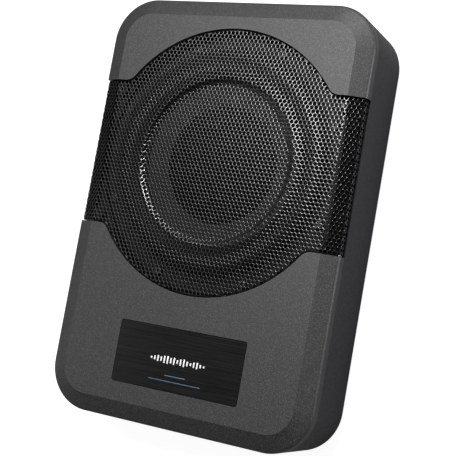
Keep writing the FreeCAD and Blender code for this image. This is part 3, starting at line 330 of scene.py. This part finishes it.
def satin_paint(name, base, fleck, rough, fleck_scale, spec, side=None):
    """Dark satin paint with a fine metallic fleck and an orange-peel surface. With side, (base,
    fleck, height in metres), the paint has another tone below that height."""
    n = Nodes(name)
    if side:
        place = n.add("ShaderNodeSeparateXYZ")
        n.link(n.coords, "Object", place, "Vector")
        blur = SIDE_TONE_BLUR * MM
        low = n.ramp(place, "Z", side[2] - blur, side[2] + blur, 1.0, 0.0)

    def tone_of(part, gain=1.0):
        tones = [tuple(c * gain for c in paint[part]) for paint in ((base, fleck), side or (base, fleck))]
        return (n.mix(low, "Result", *tones), 2) if side else tones[0]

    cloud = n.ramp(n.noise(14.0, 3.0, 0.5), "Fac", 0.3, 0.7, 0.0, 1.0)
    tone = n.mix(cloud, "Result", tone_of(0), tone_of(0, PAINT_CLOUD_GAIN))
    spots = n.add("ShaderNodeTexVoronoi")
    spots.inputs["Scale"].default_value = fleck_scale
    n.link(n.coords, "Object", spots, "Vector")
    bright = n.ramp(spots, "Distance", 0.05, 0.38, 1.0, 0.0)
    tone = n.mix(bright, "Result", (tone, 2), tone_of(1))
    # Lighter paint along every outer edge: partly wear, partly a painted highlight on the rounded edges.
    edge_wear_and_highlight = n.ramp(n.edge(0.0006, 0.03, 0.3), "Result", 0.0, 1.0, 0.0, 0.6)
    tone = n.mix(edge_wear_and_highlight, "Result", (tone, 2), tone_of(1))
    n.link(tone, 2, n.bsdf, "Base Color")
    n.link(n.ramp(n.noise(420.0, 3.0), "Fac", 0.3, 0.7, rough[0], rough[1]), "Result", n.bsdf, "Roughness")
    peel = n.bump(n.noise(480.0, 2.0), "Fac", 0.3, 0.0002)
    grain = n.bump(n.noise(2400.0, 2.0), "Fac", 0.45, 0.00004, peel)
    n.link(grain, "Normal", n.bsdf, "Normal")
    n.bsdf.inputs["Specular IOR Level"].default_value = spec
    return n.mat


def brushed(name, low, high, rough, along, metal=1.0, spec=0.5):
    """Metal or lacquer brushed along one axis."""
    n = Nodes(name)
    streaks = n.noise(1.0, 2.0, 0.6, along)
    tone = n.mix(n.ramp(streaks, "Fac", 0.3, 0.7, 0.0, 1.0), "Result", low, high)
    n.link(tone, 2, n.bsdf, "Base Color")
    n.link(n.ramp(streaks, "Fac", 0.3, 0.7, rough[0], rough[1]), "Result", n.bsdf, "Roughness")
    n.link(n.bump(streaks, "Fac", 0.25, 0.00003), "Normal", n.bsdf, "Normal")
    n.bsdf.inputs["Metallic"].default_value = metal
    n.bsdf.inputs["Specular IOR Level"].default_value = spec
    return n.mat


def woven(name, low, high, pitch, rough=0.85, sheen=0.2):
    """Open cloth of crossing threads."""
    n = Nodes(name)
    waves = []
    for axis in ("X", "Y"):
        wave = n.add("ShaderNodeTexWave", wave_type="BANDS", bands_direction=axis)
        wave.inputs["Scale"].default_value = 0.5 / pitch
        wave.inputs["Distortion"].default_value = 0.4
        n.link(n.coords, "Object", wave, "Vector")
        waves.append(wave)
    both = n.add("ShaderNodeMath", operation="MAXIMUM")
    n.link(waves[0], "Fac", both, 0)
    n.link(waves[1], "Fac", both, 1)
    n.link(n.mix(both, "Value", low, high), 2, n.bsdf, "Base Color")
    n.link(n.bump(both, "Value", 0.6, 0.0002), "Normal", n.bsdf, "Normal")
    n.link(n.ramp(n.noise(80.0), "Fac", 0.3, 0.7, rough - 0.08, rough + 0.08), "Result", n.bsdf, "Roughness")
    n.bsdf.inputs["Sheen Weight"].default_value = sheen
    return n.mat


PANEL_TONES = (grey(0.013), grey(0.11))
BODY_TONES = ((0.0036, 0.0034, 0.0054), (0.013, 0.0125, 0.0155))

# Each plain finish: low tone, high tone, roughness, and what differs from finish_material's defaults.
FINISHES = {
    "grille_black": (grey(0.005), grey(0.009), (0.15, 0.19), {"bump": (0.1, 0.00002, 1800.0), "spec": 0.7}),
    "moulded_black": (grey(0.003), grey(0.006), (0.5, 0.62),
                      {"spec": 0.15, "edge": (0.0004, grey(0.04), 0.5), "bump": (0.35, 0.00006, 1300.0)}),
    "rubber": (grey(0.0025), grey(0.005), (0.62, 0.75), {"bump": (0.4, 0.00008, 900.0), "spec": 0.1}),
    "foam": (grey(0.002), grey(0.004), (0.9, 1.0), {"bump": (0.9, 0.0003, 1400.0), "spec": 0.04}),
    "zinc_screw": ((0.55, 0.53, 0.46), (0.66, 0.66, 0.62), (0.25, 0.38), {"metal": 1.0, "scale": 300.0}),
    "black_screw": (grey(0.02), grey(0.035), (0.3, 0.42),
                    {"metal": 0.6, "scale": 300.0, "edge": (0.0002, grey(0.3), 0.7)}),
    "cone_grey": (grey(0.012), grey(0.02), (0.6, 0.75),
                  {"spec": 0.15, "scale": 200.0, "bump": (0.5, 0.0002, 700.0)}),
    "cap_black": (grey(0.002), grey(0.004), (0.6, 0.7), {"spec": 0.04, "bump": (0.2, 0.00005, 700.0)}),
    "basket_steel": (grey(0.004), grey(0.007), (0.45, 0.55), {"spec": 0.12, "bump": (0.3, 0.00008, 900.0)}),
    "motor_steel": (grey(0.02), grey(0.03), (0.35, 0.45), {"edge": (0.0005, grey(0.3), 0.7)}),
    "ferrite": (grey(0.05), grey(0.09), (0.55, 0.7), {"scale": 120.0, "bump": (0.5, 0.0002, 800.0)}),
    "copper": ((0.6, 0.24, 0.1), (0.78, 0.36, 0.18), (0.2, 0.32),
               {"metal": 1.0, "scale": 400.0, "stretch": (1.0, 1.0, 8.0)}),
    "board_green": ((0.01, 0.09, 0.04), (0.015, 0.13, 0.06), (0.3, 0.4), {"scale": 350.0}),
    "capacitor_sleeve": ((0.01, 0.012, 0.03), (0.015, 0.02, 0.05), (0.2, 0.3), {}),
    "chip_black": (grey(0.012), grey(0.02), (0.5, 0.6), {"bump": (0.5, 0.00005, 2500.0)}),
    "nickel": ((0.62, 0.6, 0.56), (0.75, 0.74, 0.7), (0.16, 0.26), {"metal": 1.0, "scale": 300.0}),
    "red_plastic": ((0.45, 0.01, 0.01), (0.55, 0.02, 0.015), (0.3, 0.4), {}),
    "white_plastic": (grey(0.65), grey(0.78), (0.3, 0.4), {}),
    "connector_black": (grey(0.018), grey(0.028), (0.4, 0.5), {"edge": (0.0003, grey(0.06), 0.5)}),
    "lens_blue": ((0.02, 0.12, 0.5), (0.04, 0.2, 0.7), (0.08, 0.14), {"coat": 0.5}),
    "lead_red": ((0.4, 0.01, 0.01), (0.5, 0.02, 0.02), (0.4, 0.5), {}),
    "lead_black": (grey(0.012), grey(0.02), (0.4, 0.5), {}),
}
MATERIALS = {name: finish_material(name, low, high, rough, **rest)
             for name, (low, high, rough, rest) in FINISHES.items()}
MATERIALS["panel_paint"] = satin_paint("panel_paint", *PANEL_TONES, (0.45, 0.52), 1250.0, 0.48,
                                       (*BODY_TONES, SIDE_TONE_Z * MM))
MATERIALS["body_paint"] = satin_paint("body_paint", *BODY_TONES, (0.5, 0.6), 1600.0, 0.28)
MATERIALS["badge_black"] = brushed("badge_black", grey(0.003), grey(0.008), (0.2, 0.3),
                                   (25.0, 2600.0, 400.0), metal=0.0, spec=0.28)
MATERIALS["former"] = brushed("former", (0.5, 0.45, 0.35), (0.72, 0.66, 0.52), (0.3, 0.45),
                              (60.0, 60.0, 2000.0))
MATERIALS["bare_aluminium"] = brushed("bare_aluminium", (0.55, 0.56, 0.57), (0.75, 0.76, 0.77),
                                      (0.32, 0.46), (30.0, 900.0, 1500.0))
MATERIALS["spider_cloth"] = woven("spider_cloth", (0.32, 0.2, 0.06), (0.6, 0.42, 0.16), 0.0009)


def dress(obj, finish):
    obj.data.materials.clear()
    obj.data.materials.append(MATERIALS[finish])


def dress_frame():
    """Gives every CAD node the finish of its slot in the record."""
    for part in frame["record"]["subparts"]:
        dress(frame["nodes"][part["node"]], part["material_slot"])


def settle(piece, finish, body):
    """Gives a new piece its finish and the body it is fixed to."""
    dress(piece, finish)
    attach(piece, body)


# --- grille ------------------------------------------------------------------
def sheet_distance(x, y):
    """How far (x, y) is outside the sheet's outline, in mm; y is from the driver's axis."""
    x = np.abs(x)
    y = np.abs(y)
    outside = np.minimum(np.hypot(x, y) - ROUND_R, y - BAND_HALF)
    cy = BAND_HALF + CORNER_R
    cx = math.sqrt((ROUND_R + CORNER_R) ** 2 - cy ** 2)
    toward = math.atan2(-cy, -cx)
    angle = np.arctan2(y - cy, x - cx)
    in_corner = (angle >= toward) & (angle <= -math.pi / 2)
    return np.where(in_corner, CORNER_R - np.hypot(x - cx, y - cy), outside)


def section_path():
    """Section of the sheet across the band, from the face over the bevel to the flap: points
    (length along the sheet, x, z)."""
    reach = FOLD_R * math.tan((math.pi / 2 - BEVEL_ANGLE) / 2)
    tangent_x = SIDE_X - reach * math.cos(BEVEL_ANGLE)
    tangent_z = SHOULDER_Z + reach * math.sin(BEVEL_ANGLE)
    centre = (SIDE_X - FOLD_R, SHOULDER_Z - reach)
    points = [(0.0, SHEET_Z), (BEVEL_X - BEVEL_BLEND, SHEET_Z), (BEVEL_X, SHEET_Z - BEVEL_BLEND_DROPS[0]),
              (BEVEL_X + BEVEL_BLEND, SHEET_Z - BEVEL_BLEND_DROPS[1]), (tangent_x, tangent_z)]
    for i in range(1, FOLD_STEPS + 1):
        a = (math.pi / 2 - BEVEL_ANGLE) * (1 - i / FOLD_STEPS)
        points.append((centre[0] + FOLD_R * math.cos(a), centre[1] + FOLD_R * math.sin(a)))
    points.append((SIDE_X, FLAP_LOW_Z))
    run = [0.0]
    for (x0, z0), (x1, z1) in zip(points, points[1:]):
        run.append(run[-1] + math.hypot(x1 - x0, z1 - z0))
    xs, zs = zip(*points)
    return np.array(run), np.array(xs), np.array(zs)


def hexagon_cell():
    """Triangles between a cell's six corners and its hole; corners come first, then the hole."""
    ring = [(30 + 60 * k, 0, k) for k in range(6)]
    ring += [(360 * k / HOLE_SIDES + 0.01, 6, k) for k in range(HOLE_SIDES)]
    ring.sort()
    last = {0: 5, 6: HOLE_SIDES - 1}
    faces = []
    for _, kind, k in ring:
        if kind == 0:
            faces.append((last[0], k, 6 + last[6]))
        else:
            faces.append((6 + k, 6 + last[6], last[0]))
        last[kind] = k
    return faces


def cell_centres(reach_u, reach_v):
    """Centres of the hexagonal cells that cover the sheet, row by row."""
    pitch_v = HOLE_PITCH * math.sqrt(3) / 2
    rows = int(reach_v / pitch_v) + 2
    columns = int(reach_u / HOLE_PITCH) + 2
    return np.array([((i + 0.5 * (j % 2)) * HOLE_PITCH, j * pitch_v)
                     for j in range(-rows, rows + 1) for i in range(-columns, columns + 1)])


def ring_of(count, turn, radius):
    """Points evenly spaced on a circle, from a first angle in degrees."""
    angles = np.radians(turn + 360.0 * np.arange(count) / count)
    return np.stack([np.cos(angles), np.sin(angles)], 1) * radius


def split_sheet(points, tris, value, keep_outside):
    """Cuts triangles along value(point) = 0; the side above 0 is dropped unless kept."""
    points = list(points)
    level = list(value(np.array(points)))
    cuts = {}
    made = []

    def cut(a, b):
        key = (min(a, b), max(a, b))
        if key not in cuts:
            share = level[key[0]] / (level[key[0]] - level[key[1]])
            cuts[key] = len(points)
            points.append(points[key[0]] + (points[key[1]] - points[key[0]]) * share)
            level.append(0.0)
        return cuts[key]

    for tri in tris:
        signs = [level[i] > 1e-6 for i in tri]
        if not any(signs):
            made.append(tri)
            continue
        if all(signs):
            if keep_outside:
                made.append(tri)
            continue
        inner, outer = [], []
        for k in range(3):
            a, b = tri[k], tri[(k + 1) % 3]
            (outer if signs[k] else inner).append(a)
            if signs[k] != signs[(k + 1) % 3]:
                middle = cut(a, b)
                inner.append(middle)
                outer.append(middle)
        for shape in (inner, outer) if keep_outside else (inner,):
            made += [(shape[0], shape[k], shape[k + 1]) for k in range(1, len(shape) - 1)]
    return np.array(points), made


def grille_flat_mesh(flap_u):
    """The unrolled sheet: points (u, v), triangles, and for each point the way to its hole's centre."""
    def outside(at):
        return np.maximum(sheet_distance(at[:, 0], at[:, 1]), np.abs(at[:, 0]) - flap_u)

    centres = cell_centres(flap_u, ROUND_R)
    gap = outside(centres)
    near = gap < HOLE_PITCH
    centres, gap = centres[near], gap[near]
    corners = ring_of(6, 30, HOLE_PITCH / math.sqrt(3))
    hole = ring_of(HOLE_SIDES, 0, 1.0)
    cell = hexagon_cell()
    points, tris, toward, index = [], [], [], {}

    def corner(at):
        key = (round(at[0], 3), round(at[1], 3))
        if key not in index:
            index[key] = len(points)
            points.append(at)
            toward.append((0.0, 0.0))
        return index[key]

    for centre, g in zip(centres, gap):
        own = [corner(centre + c) for c in corners]
        radius = min(HOLE_R, flap_u - abs(centre[0]) - HOLE_MARGIN)
        if radius < HOLE_MIN_R or g > -HOLE_EDGE_GAP:
            middle = corner(centre)
            tris += [(own[k], own[(k + 1) % 6], middle) for k in range(6)]
            continue
        for h in hole:
            own.append(len(points))
            points.append(centre + h * radius)
            toward.append(tuple(-h))
        tris += [(own[a], own[b], own[c]) for a, b, c in cell]
    points = np.array(points)
    for step in (EDGE_ROLL, EDGE_ROLL * 0.5, EDGE_ROLL * 0.2):
        points, tris = split_sheet(points, tris, lambda at: sheet_distance(at[:, 0], at[:, 1]) + step, True)
    points, tris = split_sheet(points, tris, outside, False)
    toward = np.vstack([toward, np.zeros((len(points) - len(toward), 2))])
    used = np.unique(np.array(tris))
    number = np.full(len(points), -1)
    number[used] = np.arange(len(used))
    return points[used], number[np.array(tris)], toward[used]


def on_sheet(flat, section):
    """Places unrolled points on the pressed and folded sheet, in metres."""
    run, xs, zs = section
    u, v = flat[:, 0], flat[:, 1]
    x = np.interp(np.abs(u), run, xs) * np.sign(u)
    z = np.interp(np.abs(u), run, zs)
    radius = np.hypot(u, v)
    ring_r, ring_z = zip(*RINGS)
    z = z + np.where(radius < ring_r[-1], np.interp(radius, ring_r, ring_z), 0.0)
    depth = 1 - np.clip(-sheet_distance(u, v), 0, EDGE_ROLL) / EDGE_ROLL
    drop = EDGE_ROLL * (1 - np.sqrt(1 - depth ** 2))
    side = np.clip((np.abs(u) - run[-1] + FLAP_ROLL_START) / FLAP_ROLL_BLEND, 0, 1)
    z = z - drop * (1 - side)
    x = x - np.sign(u) * drop * side
    return np.stack([x, v + AXIS_Y, z], 1) * MM


def round_hole_rims(sheet, top_faces, normals):
    """Tilts the shading normals at the hole rims, as on a punched and painted sheet."""
    mesh = sheet.data
    loops = np.zeros(len(mesh.loops), np.int32)
    mesh.loops.foreach_get("vertex_index", loops)
    made = np.zeros((len(loops), 3))
    made[:top_faces * 3] = normals[loops[:top_faces * 3]]
    mesh.normals_split_custom_set(made.tolist())


def build_grille():
    """The perforated sheet: meshed flat, pressed and folded, then given its thickness."""
    section = section_path()
    flat, tris, toward = grille_flat_mesh(section[0][-1])
    points = on_sheet(flat, section)
    sheet = mesh_object("grille_perforated", points, tris)
    normals = np.zeros(len(points) * 3)
    sheet.data.vertex_normals.foreach_get("vector", normals)
    normals = normals.reshape(-1, 3)
    lean = on_sheet(flat + toward * 0.05, section) - points
    lean /= np.maximum(np.linalg.norm(lean, axis=1, keepdims=True), 1e-9)
    lean *= (np.abs(toward).sum(1) > 0)[:, None]
    normals = normals + lean * RIM_TILT
    normals /= np.linalg.norm(normals, axis=1, keepdims=True)
    thick = sheet.modifiers.new("Thickness", "SOLIDIFY")
    thick.thickness = SHEET_T * MM
    thick.offset = -1
    thick.use_even_offset = False
    apply_modifiers(sheet)
    sheet.data.shade_smooth()
    sheet.data.set_sharp_from_angle(angle=math.radians(42))
    round_hole_rims(sheet, len(tris), normals)
    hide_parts("grille")
    settle(sheet, "grille_black", "enclosure")


def build_side_foam():
    """Foam that backs the wrapped sides, pressed into the fold of the sheet."""
    bevel = Vector((math.cos(BEVEL_ANGLE), -math.sin(BEVEL_ANGLE)))
    path = [Vector((FOAM_START_X, SHOULDER_Z + (SIDE_X - FOAM_START_X) * math.tan(BEVEL_ANGLE)))]
    path += [Vector((x, z)) for x, z in zip(*section_path()[1:]) if x > FOAM_START_X and z > FOAM_LOW_Z]
    path.append(Vector((SIDE_X, FOAM_LOW_Z)))
    normals = []
    for i in range(len(path)):
        ahead = (path[min(i + 1, len(path) - 1)] - path[max(i - 1, 0)]).normalized()
        normals.append(Vector((-ahead.y, ahead.x)))
    normals[0] = Vector((-bevel.y, bevel.x))
    outer = [p - n * FOAM_DEPTHS[0] for p, n in zip(path, normals)]
    inner = [p - n * FOAM_DEPTHS[1] for p, n in zip(path, normals)]
    outline = outer + inner[::-1]
    for name, side in (("grille_foam_left", -1), ("grille_foam_right", 1)):
        rings = [[(side * p.x * MM, (AXIS_Y + end * FOAM_HALF_L) * MM, p.y * MM) for p in outline]
                 for end in (-1, 1)]
        settle(swept(name, rings), "foam", "enclosure")


# --- badge mark --------------------------------------------------------------
def printed(name, low, high):
    """Ink: a matt tone that varies a little."""
    n = Nodes(name)
    tone = n.mix(n.ramp(n.noise(500.0), "Fac", 0.3, 0.7, 0.0, 1.0), "Result", low, high)
    n.link(tone, 2, n.bsdf, "Base Color")
    n.link(n.ramp(n.noise(900.0), "Fac", 0.3, 0.7, 0.4, 0.55), "Result", n.bsdf, "Roughness")
    return n.mat


def badge_bar(name, x, y, half_x, half_y, lift, bevel, finish):
    """Flat raised bar on the badge plate, in mm; y is from the badge's middle."""
    low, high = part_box("badge_plate")
    y += (low.y + high.y) / 2 / MM
    top = high.z / MM
    bar = bevelled_box(name, [v * MM for v in (x - half_x, y - half_y, top - BADGE_SINK)],
                       [v * MM for v in (x + half_x, y + half_y, top + lift)], bevel * MM)
    settle(bar, finish, "enclosure")


def build_badge_mark():
    """A generic mark: a row of upright level bars over two thin lines."""
    MATERIALS["mark_silver"] = printed("mark_silver", grey(0.72), grey(0.82))
    MATERIALS["mark_blue"] = printed("mark_blue", (0.05, 0.09, 0.16), (0.07, 0.12, 0.2))
    for i, height in enumerate(BADGE_BARS):
        x = (i - (len(BADGE_BARS) - 1) / 2) * BADGE_BAR_STEP
        badge_bar("badge_level_bar_%02d" % (i + 1), x, BADGE_MARK_Y, BADGE_BAR_HALF, height / 2,
                  BADGE_BAR_LIFT, 0.04, "mark_silver")
    for name, half_l, half_w, drop in BADGE_LINES:
        badge_bar(name, 0.0, BADGE_MARK_Y - drop, half_l, half_w, BADGE_LINE_LIFT, 0.03, "mark_blue")


# --- soft parts of the driver -------------------------------------------------
def arc_through(a, b, c, count):
    """Points of the arc from a over b to c."""
    (ax, ay), (bx, by), (cx, cy) = a, b, c
    d = 2 * (ax * (by - cy) + bx * (cy - ay) + cx * (ay - by))
    sa, sb, sc = ax * ax + ay * ay, bx * bx + by * by, cx * cx + cy * cy
    x = (sa * (by - cy) + sb * (cy - ay) + sc * (ay - by)) / d
    y = (sa * (cx - bx) + sb * (ax - cx) + sc * (bx - ax)) / d
    first = math.atan2(ay - y, ax - x)
    turn = (math.atan2(cy - y, cx - x) - first) % math.tau
    if (math.atan2(by - y, bx - x) - first) % math.tau > turn:
        turn -= math.tau
    radius = math.hypot(ax - x, ay - y)
    return [(x + radius * math.cos(first + turn * i / count), y + radius * math.sin(first + turn * i / count))
            for i in range(count + 1)]


def swept(name, rings):
    """Skin over closed rings of points, one after the other, with flat ends."""
    count = len(rings[0])
    points = [p for ring in rings for p in ring]
    faces = []
    for i in range(len(rings) - 1):
        for j in range(count):
            k = (j + 1) % count
            faces.append((i * count + j, i * count + k, (i + 1) * count + k, (i + 1) * count + j))
    faces.append(tuple(range(count)))
    faces.append(tuple(range(len(points) - 1, len(points) - count - 1, -1)))
    obj = mesh_object(name, points, faces)
    shape = bmesh.new()
    shape.from_mesh(obj.data)
    bmesh.ops.recalc_face_normals(shape, faces=shape.faces)
    shape.to_mesh(obj.data)
    shape.free()
    obj.data.shade_smooth()
    obj.data.set_sharp_from_angle(angle=math.radians(40))
    return obj


def build_ring_of_sectors(node, profile, slot):
    """A turned soft ring in sectors, each between the basket and the cone."""
    half = math.pi / SECTORS
    for i in range(SECTORS):
        middle = 2 * half * i
        rings = []
        for j in range(SECTOR_STEPS + 1):
            a = middle - half + 2 * half * j / SECTOR_STEPS
            rings.append([(r * MM * math.cos(a), (AXIS_Y + r * math.sin(a)) * MM, z * MM)
                          for r, z in profile])
        piece = swept("%s_sector_%02d" % (node, i + 1), rings)
        dress(piece, slot)
        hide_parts(node)
        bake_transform(piece)


def build_surround():
    """Rubber ring with a half roll between the basket and the cone."""
    under = arc_through(*SURROUND_UNDER, ROLL_STEPS)
    over = arc_through(*SURROUND_OVER, ROLL_STEPS)
    inner, outer = SURROUND_RIMS
    profile = [(outer, under[0][1])] + under + [(inner, z) for z in SURROUND_INNER_Z]
    profile += over + [(outer, over[-1][1])]
    build_ring_of_sectors("surround", profile, "rubber")


def build_spider():
    """Corrugated cloth ring between the basket and the coil former."""
    inner, outer = SPIDER_RIMS
    first, last = SPIDER_WAVE_SPAN
    top = [(inner, SPIDER_Z), (first, SPIDER_Z)]
    steps = SPIDER_WAVES * WAVE_STEPS
    for i in range(1, steps):
        lift = math.sin(math.tau * SPIDER_WAVES * i / steps)
        top.append((first + (last - first) * i / steps, SPIDER_Z + lift))
    top += [(last, SPIDER_Z), (outer, SPIDER_Z)]
    profile = top + [(r, z - SPIDER_T) for r, z in reversed(top)]
    build_ring_of_sectors("spider", profile, "spider_cloth")


def rounded_route(corners, share=0.45, steps=8):
    """Straight runs with the corners rounded off."""
    points = [Vector(corners[0])]
    for before, corner, after in zip(corners, corners[1:], corners[2:]):
        before, corner, after = Vector(before), Vector(corner), Vector(after)
        cut = share * min((corner - before).length, (after - corner).length)
        a = corner + (before - corner).normalized() * cut
        b = corner + (after - corner).normalized() * cut
        for i in range(steps + 1):
            s = i / steps
            points.append(a * (1 - s) ** 2 + corner * (2 * s * (1 - s)) + b * s ** 2)
    points.append(Vector(corners[-1]))
    fine = []
    for a, b in zip(points, points[1:]):
        parts = max(1, round((b - a).length / LEAD_STEP))
        fine += [a.lerp(b, i / parts) for i in range(parts)]
    return fine + [points[-1]]


def build_tinsel_leads():
    """Two stranded leads."""
    for name, x in (("tinsel_lead_negative", -LEAD_X), ("tinsel_lead_positive", LEAD_X)):
        route = rounded_route([(x, y, z) for y, z in LEAD_ROUTE])
        rings = []
        travel = 0.0
        for i, p in enumerate(route):
            ahead = (route[min(i + 1, len(route) - 1)] - route[max(i - 1, 0)]).normalized()
            side = Vector((1, 0, 0))
            up = ahead.cross(side)
            travel += (p - route[i - 1]).length if i else 0.0
            ring = []
            for j in range(LEAD_SIDES):
                a = math.tau * j / LEAD_SIDES
                wave = math.cos(STRANDS * (a - math.tau * travel / STRAND_LAY))
                r = LEAD_R * (1 - LEAD_GROOVE + LEAD_GROOVE * wave)
                ring.append((p + side * (r * math.cos(a)) + up * (r * math.sin(a))) * MM)
            rings.append(ring)
        lead = swept(name, rings)
        dress(lead, "copper")
        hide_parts("tinsel_leads")
        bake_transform(lead)


# --- weld studs of the grille ---------------------------------------------------
def build_studs():
    """Threaded studs on the back of the grille."""
    places = [(x, AXIS_Y + y) for y in (-STUD_Y, STUD_Y) for x in (STUD_X, -STUD_X)]
    for i, (x, y) in enumerate(places):
        rings = []
        for step in range(STUD_STEPS + 1):
            z = STUD_LOW_Z + (STUD_TOP_Z - STUD_LOW_Z) * step / STUD_STEPS
            fade = min(1.0, max(0.0, (STUD_THREAD_Z - z) / THREAD_PITCH))
            tip = max(0.0, STUD_TIP - (z - STUD_LOW_Z))
            ring = []
            for j in range(STUD_SIDES):
                a = math.tau * j / STUD_SIDES
                wave = abs(2 * (((z / THREAD_PITCH) - a / math.tau) % 1.0) - 1)
                r = STUD_R - THREAD_DEPTH * fade * wave - tip
                ring.append(((x + r * math.cos(a)) * MM, (y + r * math.sin(a)) * MM, z * MM))
            rings.append(ring)
        stud = swept("grille_stud_%d" % (i + 1), rings)
        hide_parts("grille")
        settle(stud, "grille_black", "enclosure")


# --- printed marks on the connector panel ----------------------------------------
def build_bars(name, bars, y, lift, body):
    """Printed bars on a plane facing -Y, all in mm; each bar is (x, z, angle from up, half length,
    half width)."""
    points = []
    faces = []
    for x, z, angle, half_l, half_w in bars:
        along = (math.sin(angle), math.cos(angle))
        across = (math.cos(angle), -math.sin(angle))
        outline = []
        for j in range(MARK_SIDES):
            a = math.tau * (j + 0.5) / MARK_SIDES
            u = half_w * math.cos(a)
            v = half_w * math.sin(a) + math.copysign(half_l - half_w, math.sin(a))
            outline.append((x + along[0] * v + across[0] * u, z + along[1] * v + across[1] * u))
        base = len(points)
        points += [(px * MM, (y - lift) * MM, pz * MM) for px, pz in outline]
        points += [(px * MM, (y + lift) * MM, pz * MM) for px, pz in outline]
        faces.append(tuple(range(base, base + MARK_SIDES)))
        faces.append(tuple(range(base + 2 * MARK_SIDES - 1, base + MARK_SIDES - 1, -1)))
        for j in range(MARK_SIDES):
            k = (j + 1) % MARK_SIDES
            faces.append((base + j, base + MARK_SIDES + j, base + MARK_SIDES + k, base + k))
    settle(mesh_object(name, points, faces, smooth=False), "white_plastic", body)


def front_of(node):
    """Middle of a node seen from -Y, as (x, z), and the y of its outermost face; in mm."""
    low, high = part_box(node)
    return (low.x + high.x) / 2 / MM, (low.z + high.z) / 2 / MM, low.y / MM


def build_marks():
    """Scales, pointers and switch marks, all plain bars."""
    panel_y = front_of("connector_panel")[2]
    for control in ("level", "lowpass"):
        x, z, knob_y = front_of(control + "_knob")
        bars = []
        for i in range(SCALE_MARKS):
            angle = math.radians(SCALE_SWING) * (2 * i / (SCALE_MARKS - 1) - 1)
            half_l = SCALE_HALF_L[0] if i % 5 == 0 else SCALE_HALF_L[1]
            r = SCALE_R + half_l
            bars.append((x + r * math.sin(angle), z + r * math.cos(angle), angle, half_l, MARK_HALF_W))
        build_bars(control + "_scale", bars, panel_y, MARK_LIFT, "enclosure")
        build_bars(control + "_pointer", [(x, z + POINTER_R, 0.0, *POINTER_HALF)], knob_y + POINTER_INSET,
                   POINTER_LIFT, control + "_control")
    x, z, _ = front_of("phase_switch_slider")
    bars = [(x + move, z + PHASE_MARK_RISE, 0.0, PHASE_MARK_HALF_L, MARK_HALF_W)
            for move in (0.0, PHASE_TRAVEL)]
    build_bars("phase_marks", bars, panel_y, MARK_LIFT, "enclosure")


# --- camera, light, floor ----------------------------------------------------
def build_camera():
    """Camera at the photo's viewing angle."""
    cam = bpy.data.objects.new("camera", bpy.data.cameras.new("camera"))
    bpy.context.scene.collection.objects.link(cam)
    cam.location = CAMERA_PLACE
    cam.rotation_euler = [math.radians(angle) for angle in CAMERA_TURN]
    cam.data.sensor_width = 36.0
    cam.data.lens = CAMERA_LENS
    cam.data.clip_start = 0.05
    cam.data.clip_end = 20.0
    bpy.context.scene.camera = cam


def area_light(name, direction, distance, size, power, target=(0.0, 0.0, 0.05)):
    """Oval area light that faces the target from a direction."""
    data = bpy.data.lights.new(name, "AREA")
    data.shape = "ELLIPSE"
    data.size, data.size_y = size
    data.energy = power
    obj = bpy.data.objects.new(name, data)
    bpy.context.scene.collection.objects.link(obj)
    away = Vector(direction).normalized()
    obj.location = Vector(target) + away * distance
    obj.rotation_mode = "QUATERNION"
    obj.rotation_quaternion = away.to_track_quat("Z", "Y")
    obj.visible_camera = False
    return obj


def build_backdrop():
    """Soft grey room light, seen by the camera as white."""
    world = bpy.data.worlds.new("studio")
    bpy.context.scene.world = world
    world.use_nodes = True
    tree = world.node_tree
    room = tree.nodes["Background"]
    room.inputs["Color"].default_value = (1.0, 1.0, 1.0, 1.0)
    room.inputs["Strength"].default_value = ROOM_LIGHT
    backdrop = tree.nodes.new("ShaderNodeBackground")
    backdrop.inputs["Color"].default_value = (1.0, 1.0, 1.0, 1.0)
    seen = tree.nodes.new("ShaderNodeLightPath")
    both = tree.nodes.new("ShaderNodeMixShader")
    tree.links.new(seen.outputs["Is Camera Ray"], both.inputs[0])
    tree.links.new(room.outputs[0], both.inputs[1])
    tree.links.new(backdrop.outputs[0], both.inputs[2])
    tree.links.new(both.outputs[0], tree.nodes["World Output"].inputs["Surface"])


def build_floor():
    """Pale floor with a glow that the camera sees stronger than the object does."""
    corners = [(x * FLOOR_HALF, y * FLOOR_HALF, 0) for x, y in ((-1, -1), (1, -1), (1, 1), (-1, 1))]
    floor = mesh_object("floor", corners, [(0, 1, 2, 3)])
    floor.location.z = FLOOR_Z
    n = Nodes("floor_white")
    tone = n.mix(n.noise(3.0), "Fac", grey(0.30), grey(0.32))
    n.link(tone, 2, n.bsdf, "Base Color")
    n.bsdf.inputs["Roughness"].default_value = 0.9
    n.bsdf.inputs["Specular IOR Level"].default_value = 0.1
    path = n.add("ShaderNodeLightPath")
    light = n.add("ShaderNodeMixShader")
    n.link(path, "Is Camera Ray", light, 0)
    for strength, slot in ((FLOOR_GLOW_CAST, 1), (FLOOR_GLOW_SEEN, 2)):
        glow = n.add("ShaderNodeEmission")
        glow.inputs["Strength"].default_value = strength
        n.link(glow, "Emission", light, slot)
    both = n.add("ShaderNodeAddShader")
    n.link(n.bsdf, "BSDF", both, 0)
    n.link(light, "Shader", both, 1)
    n.link(both, "Shader", n.out, "Surface")
    floor.data.materials.append(n.mat)


def build_studio():
    """Soft lights, backdrop and floor."""
    build_backdrop()
    for name, values in LIGHTS.items():
        area_light(name, *values)
    strip = area_light("edge_strip", *EDGE_STRIP)
    lit = bpy.data.collections.new("edge_strip_lights")
    for node in EDGE_STRIP_NODES:
        lit.objects.link(frame["nodes"][node])
    strip.light_linking.receiver_collection = lit
    build_floor()
    bpy.context.scene.view_settings.view_transform = "Standard"


build_camera()
build_studio()
dress_frame()
build_grille()
build_side_foam()
build_studs()
build_surround()
build_spider()
build_tinsel_leads()
build_badge_mark()
build_marks()
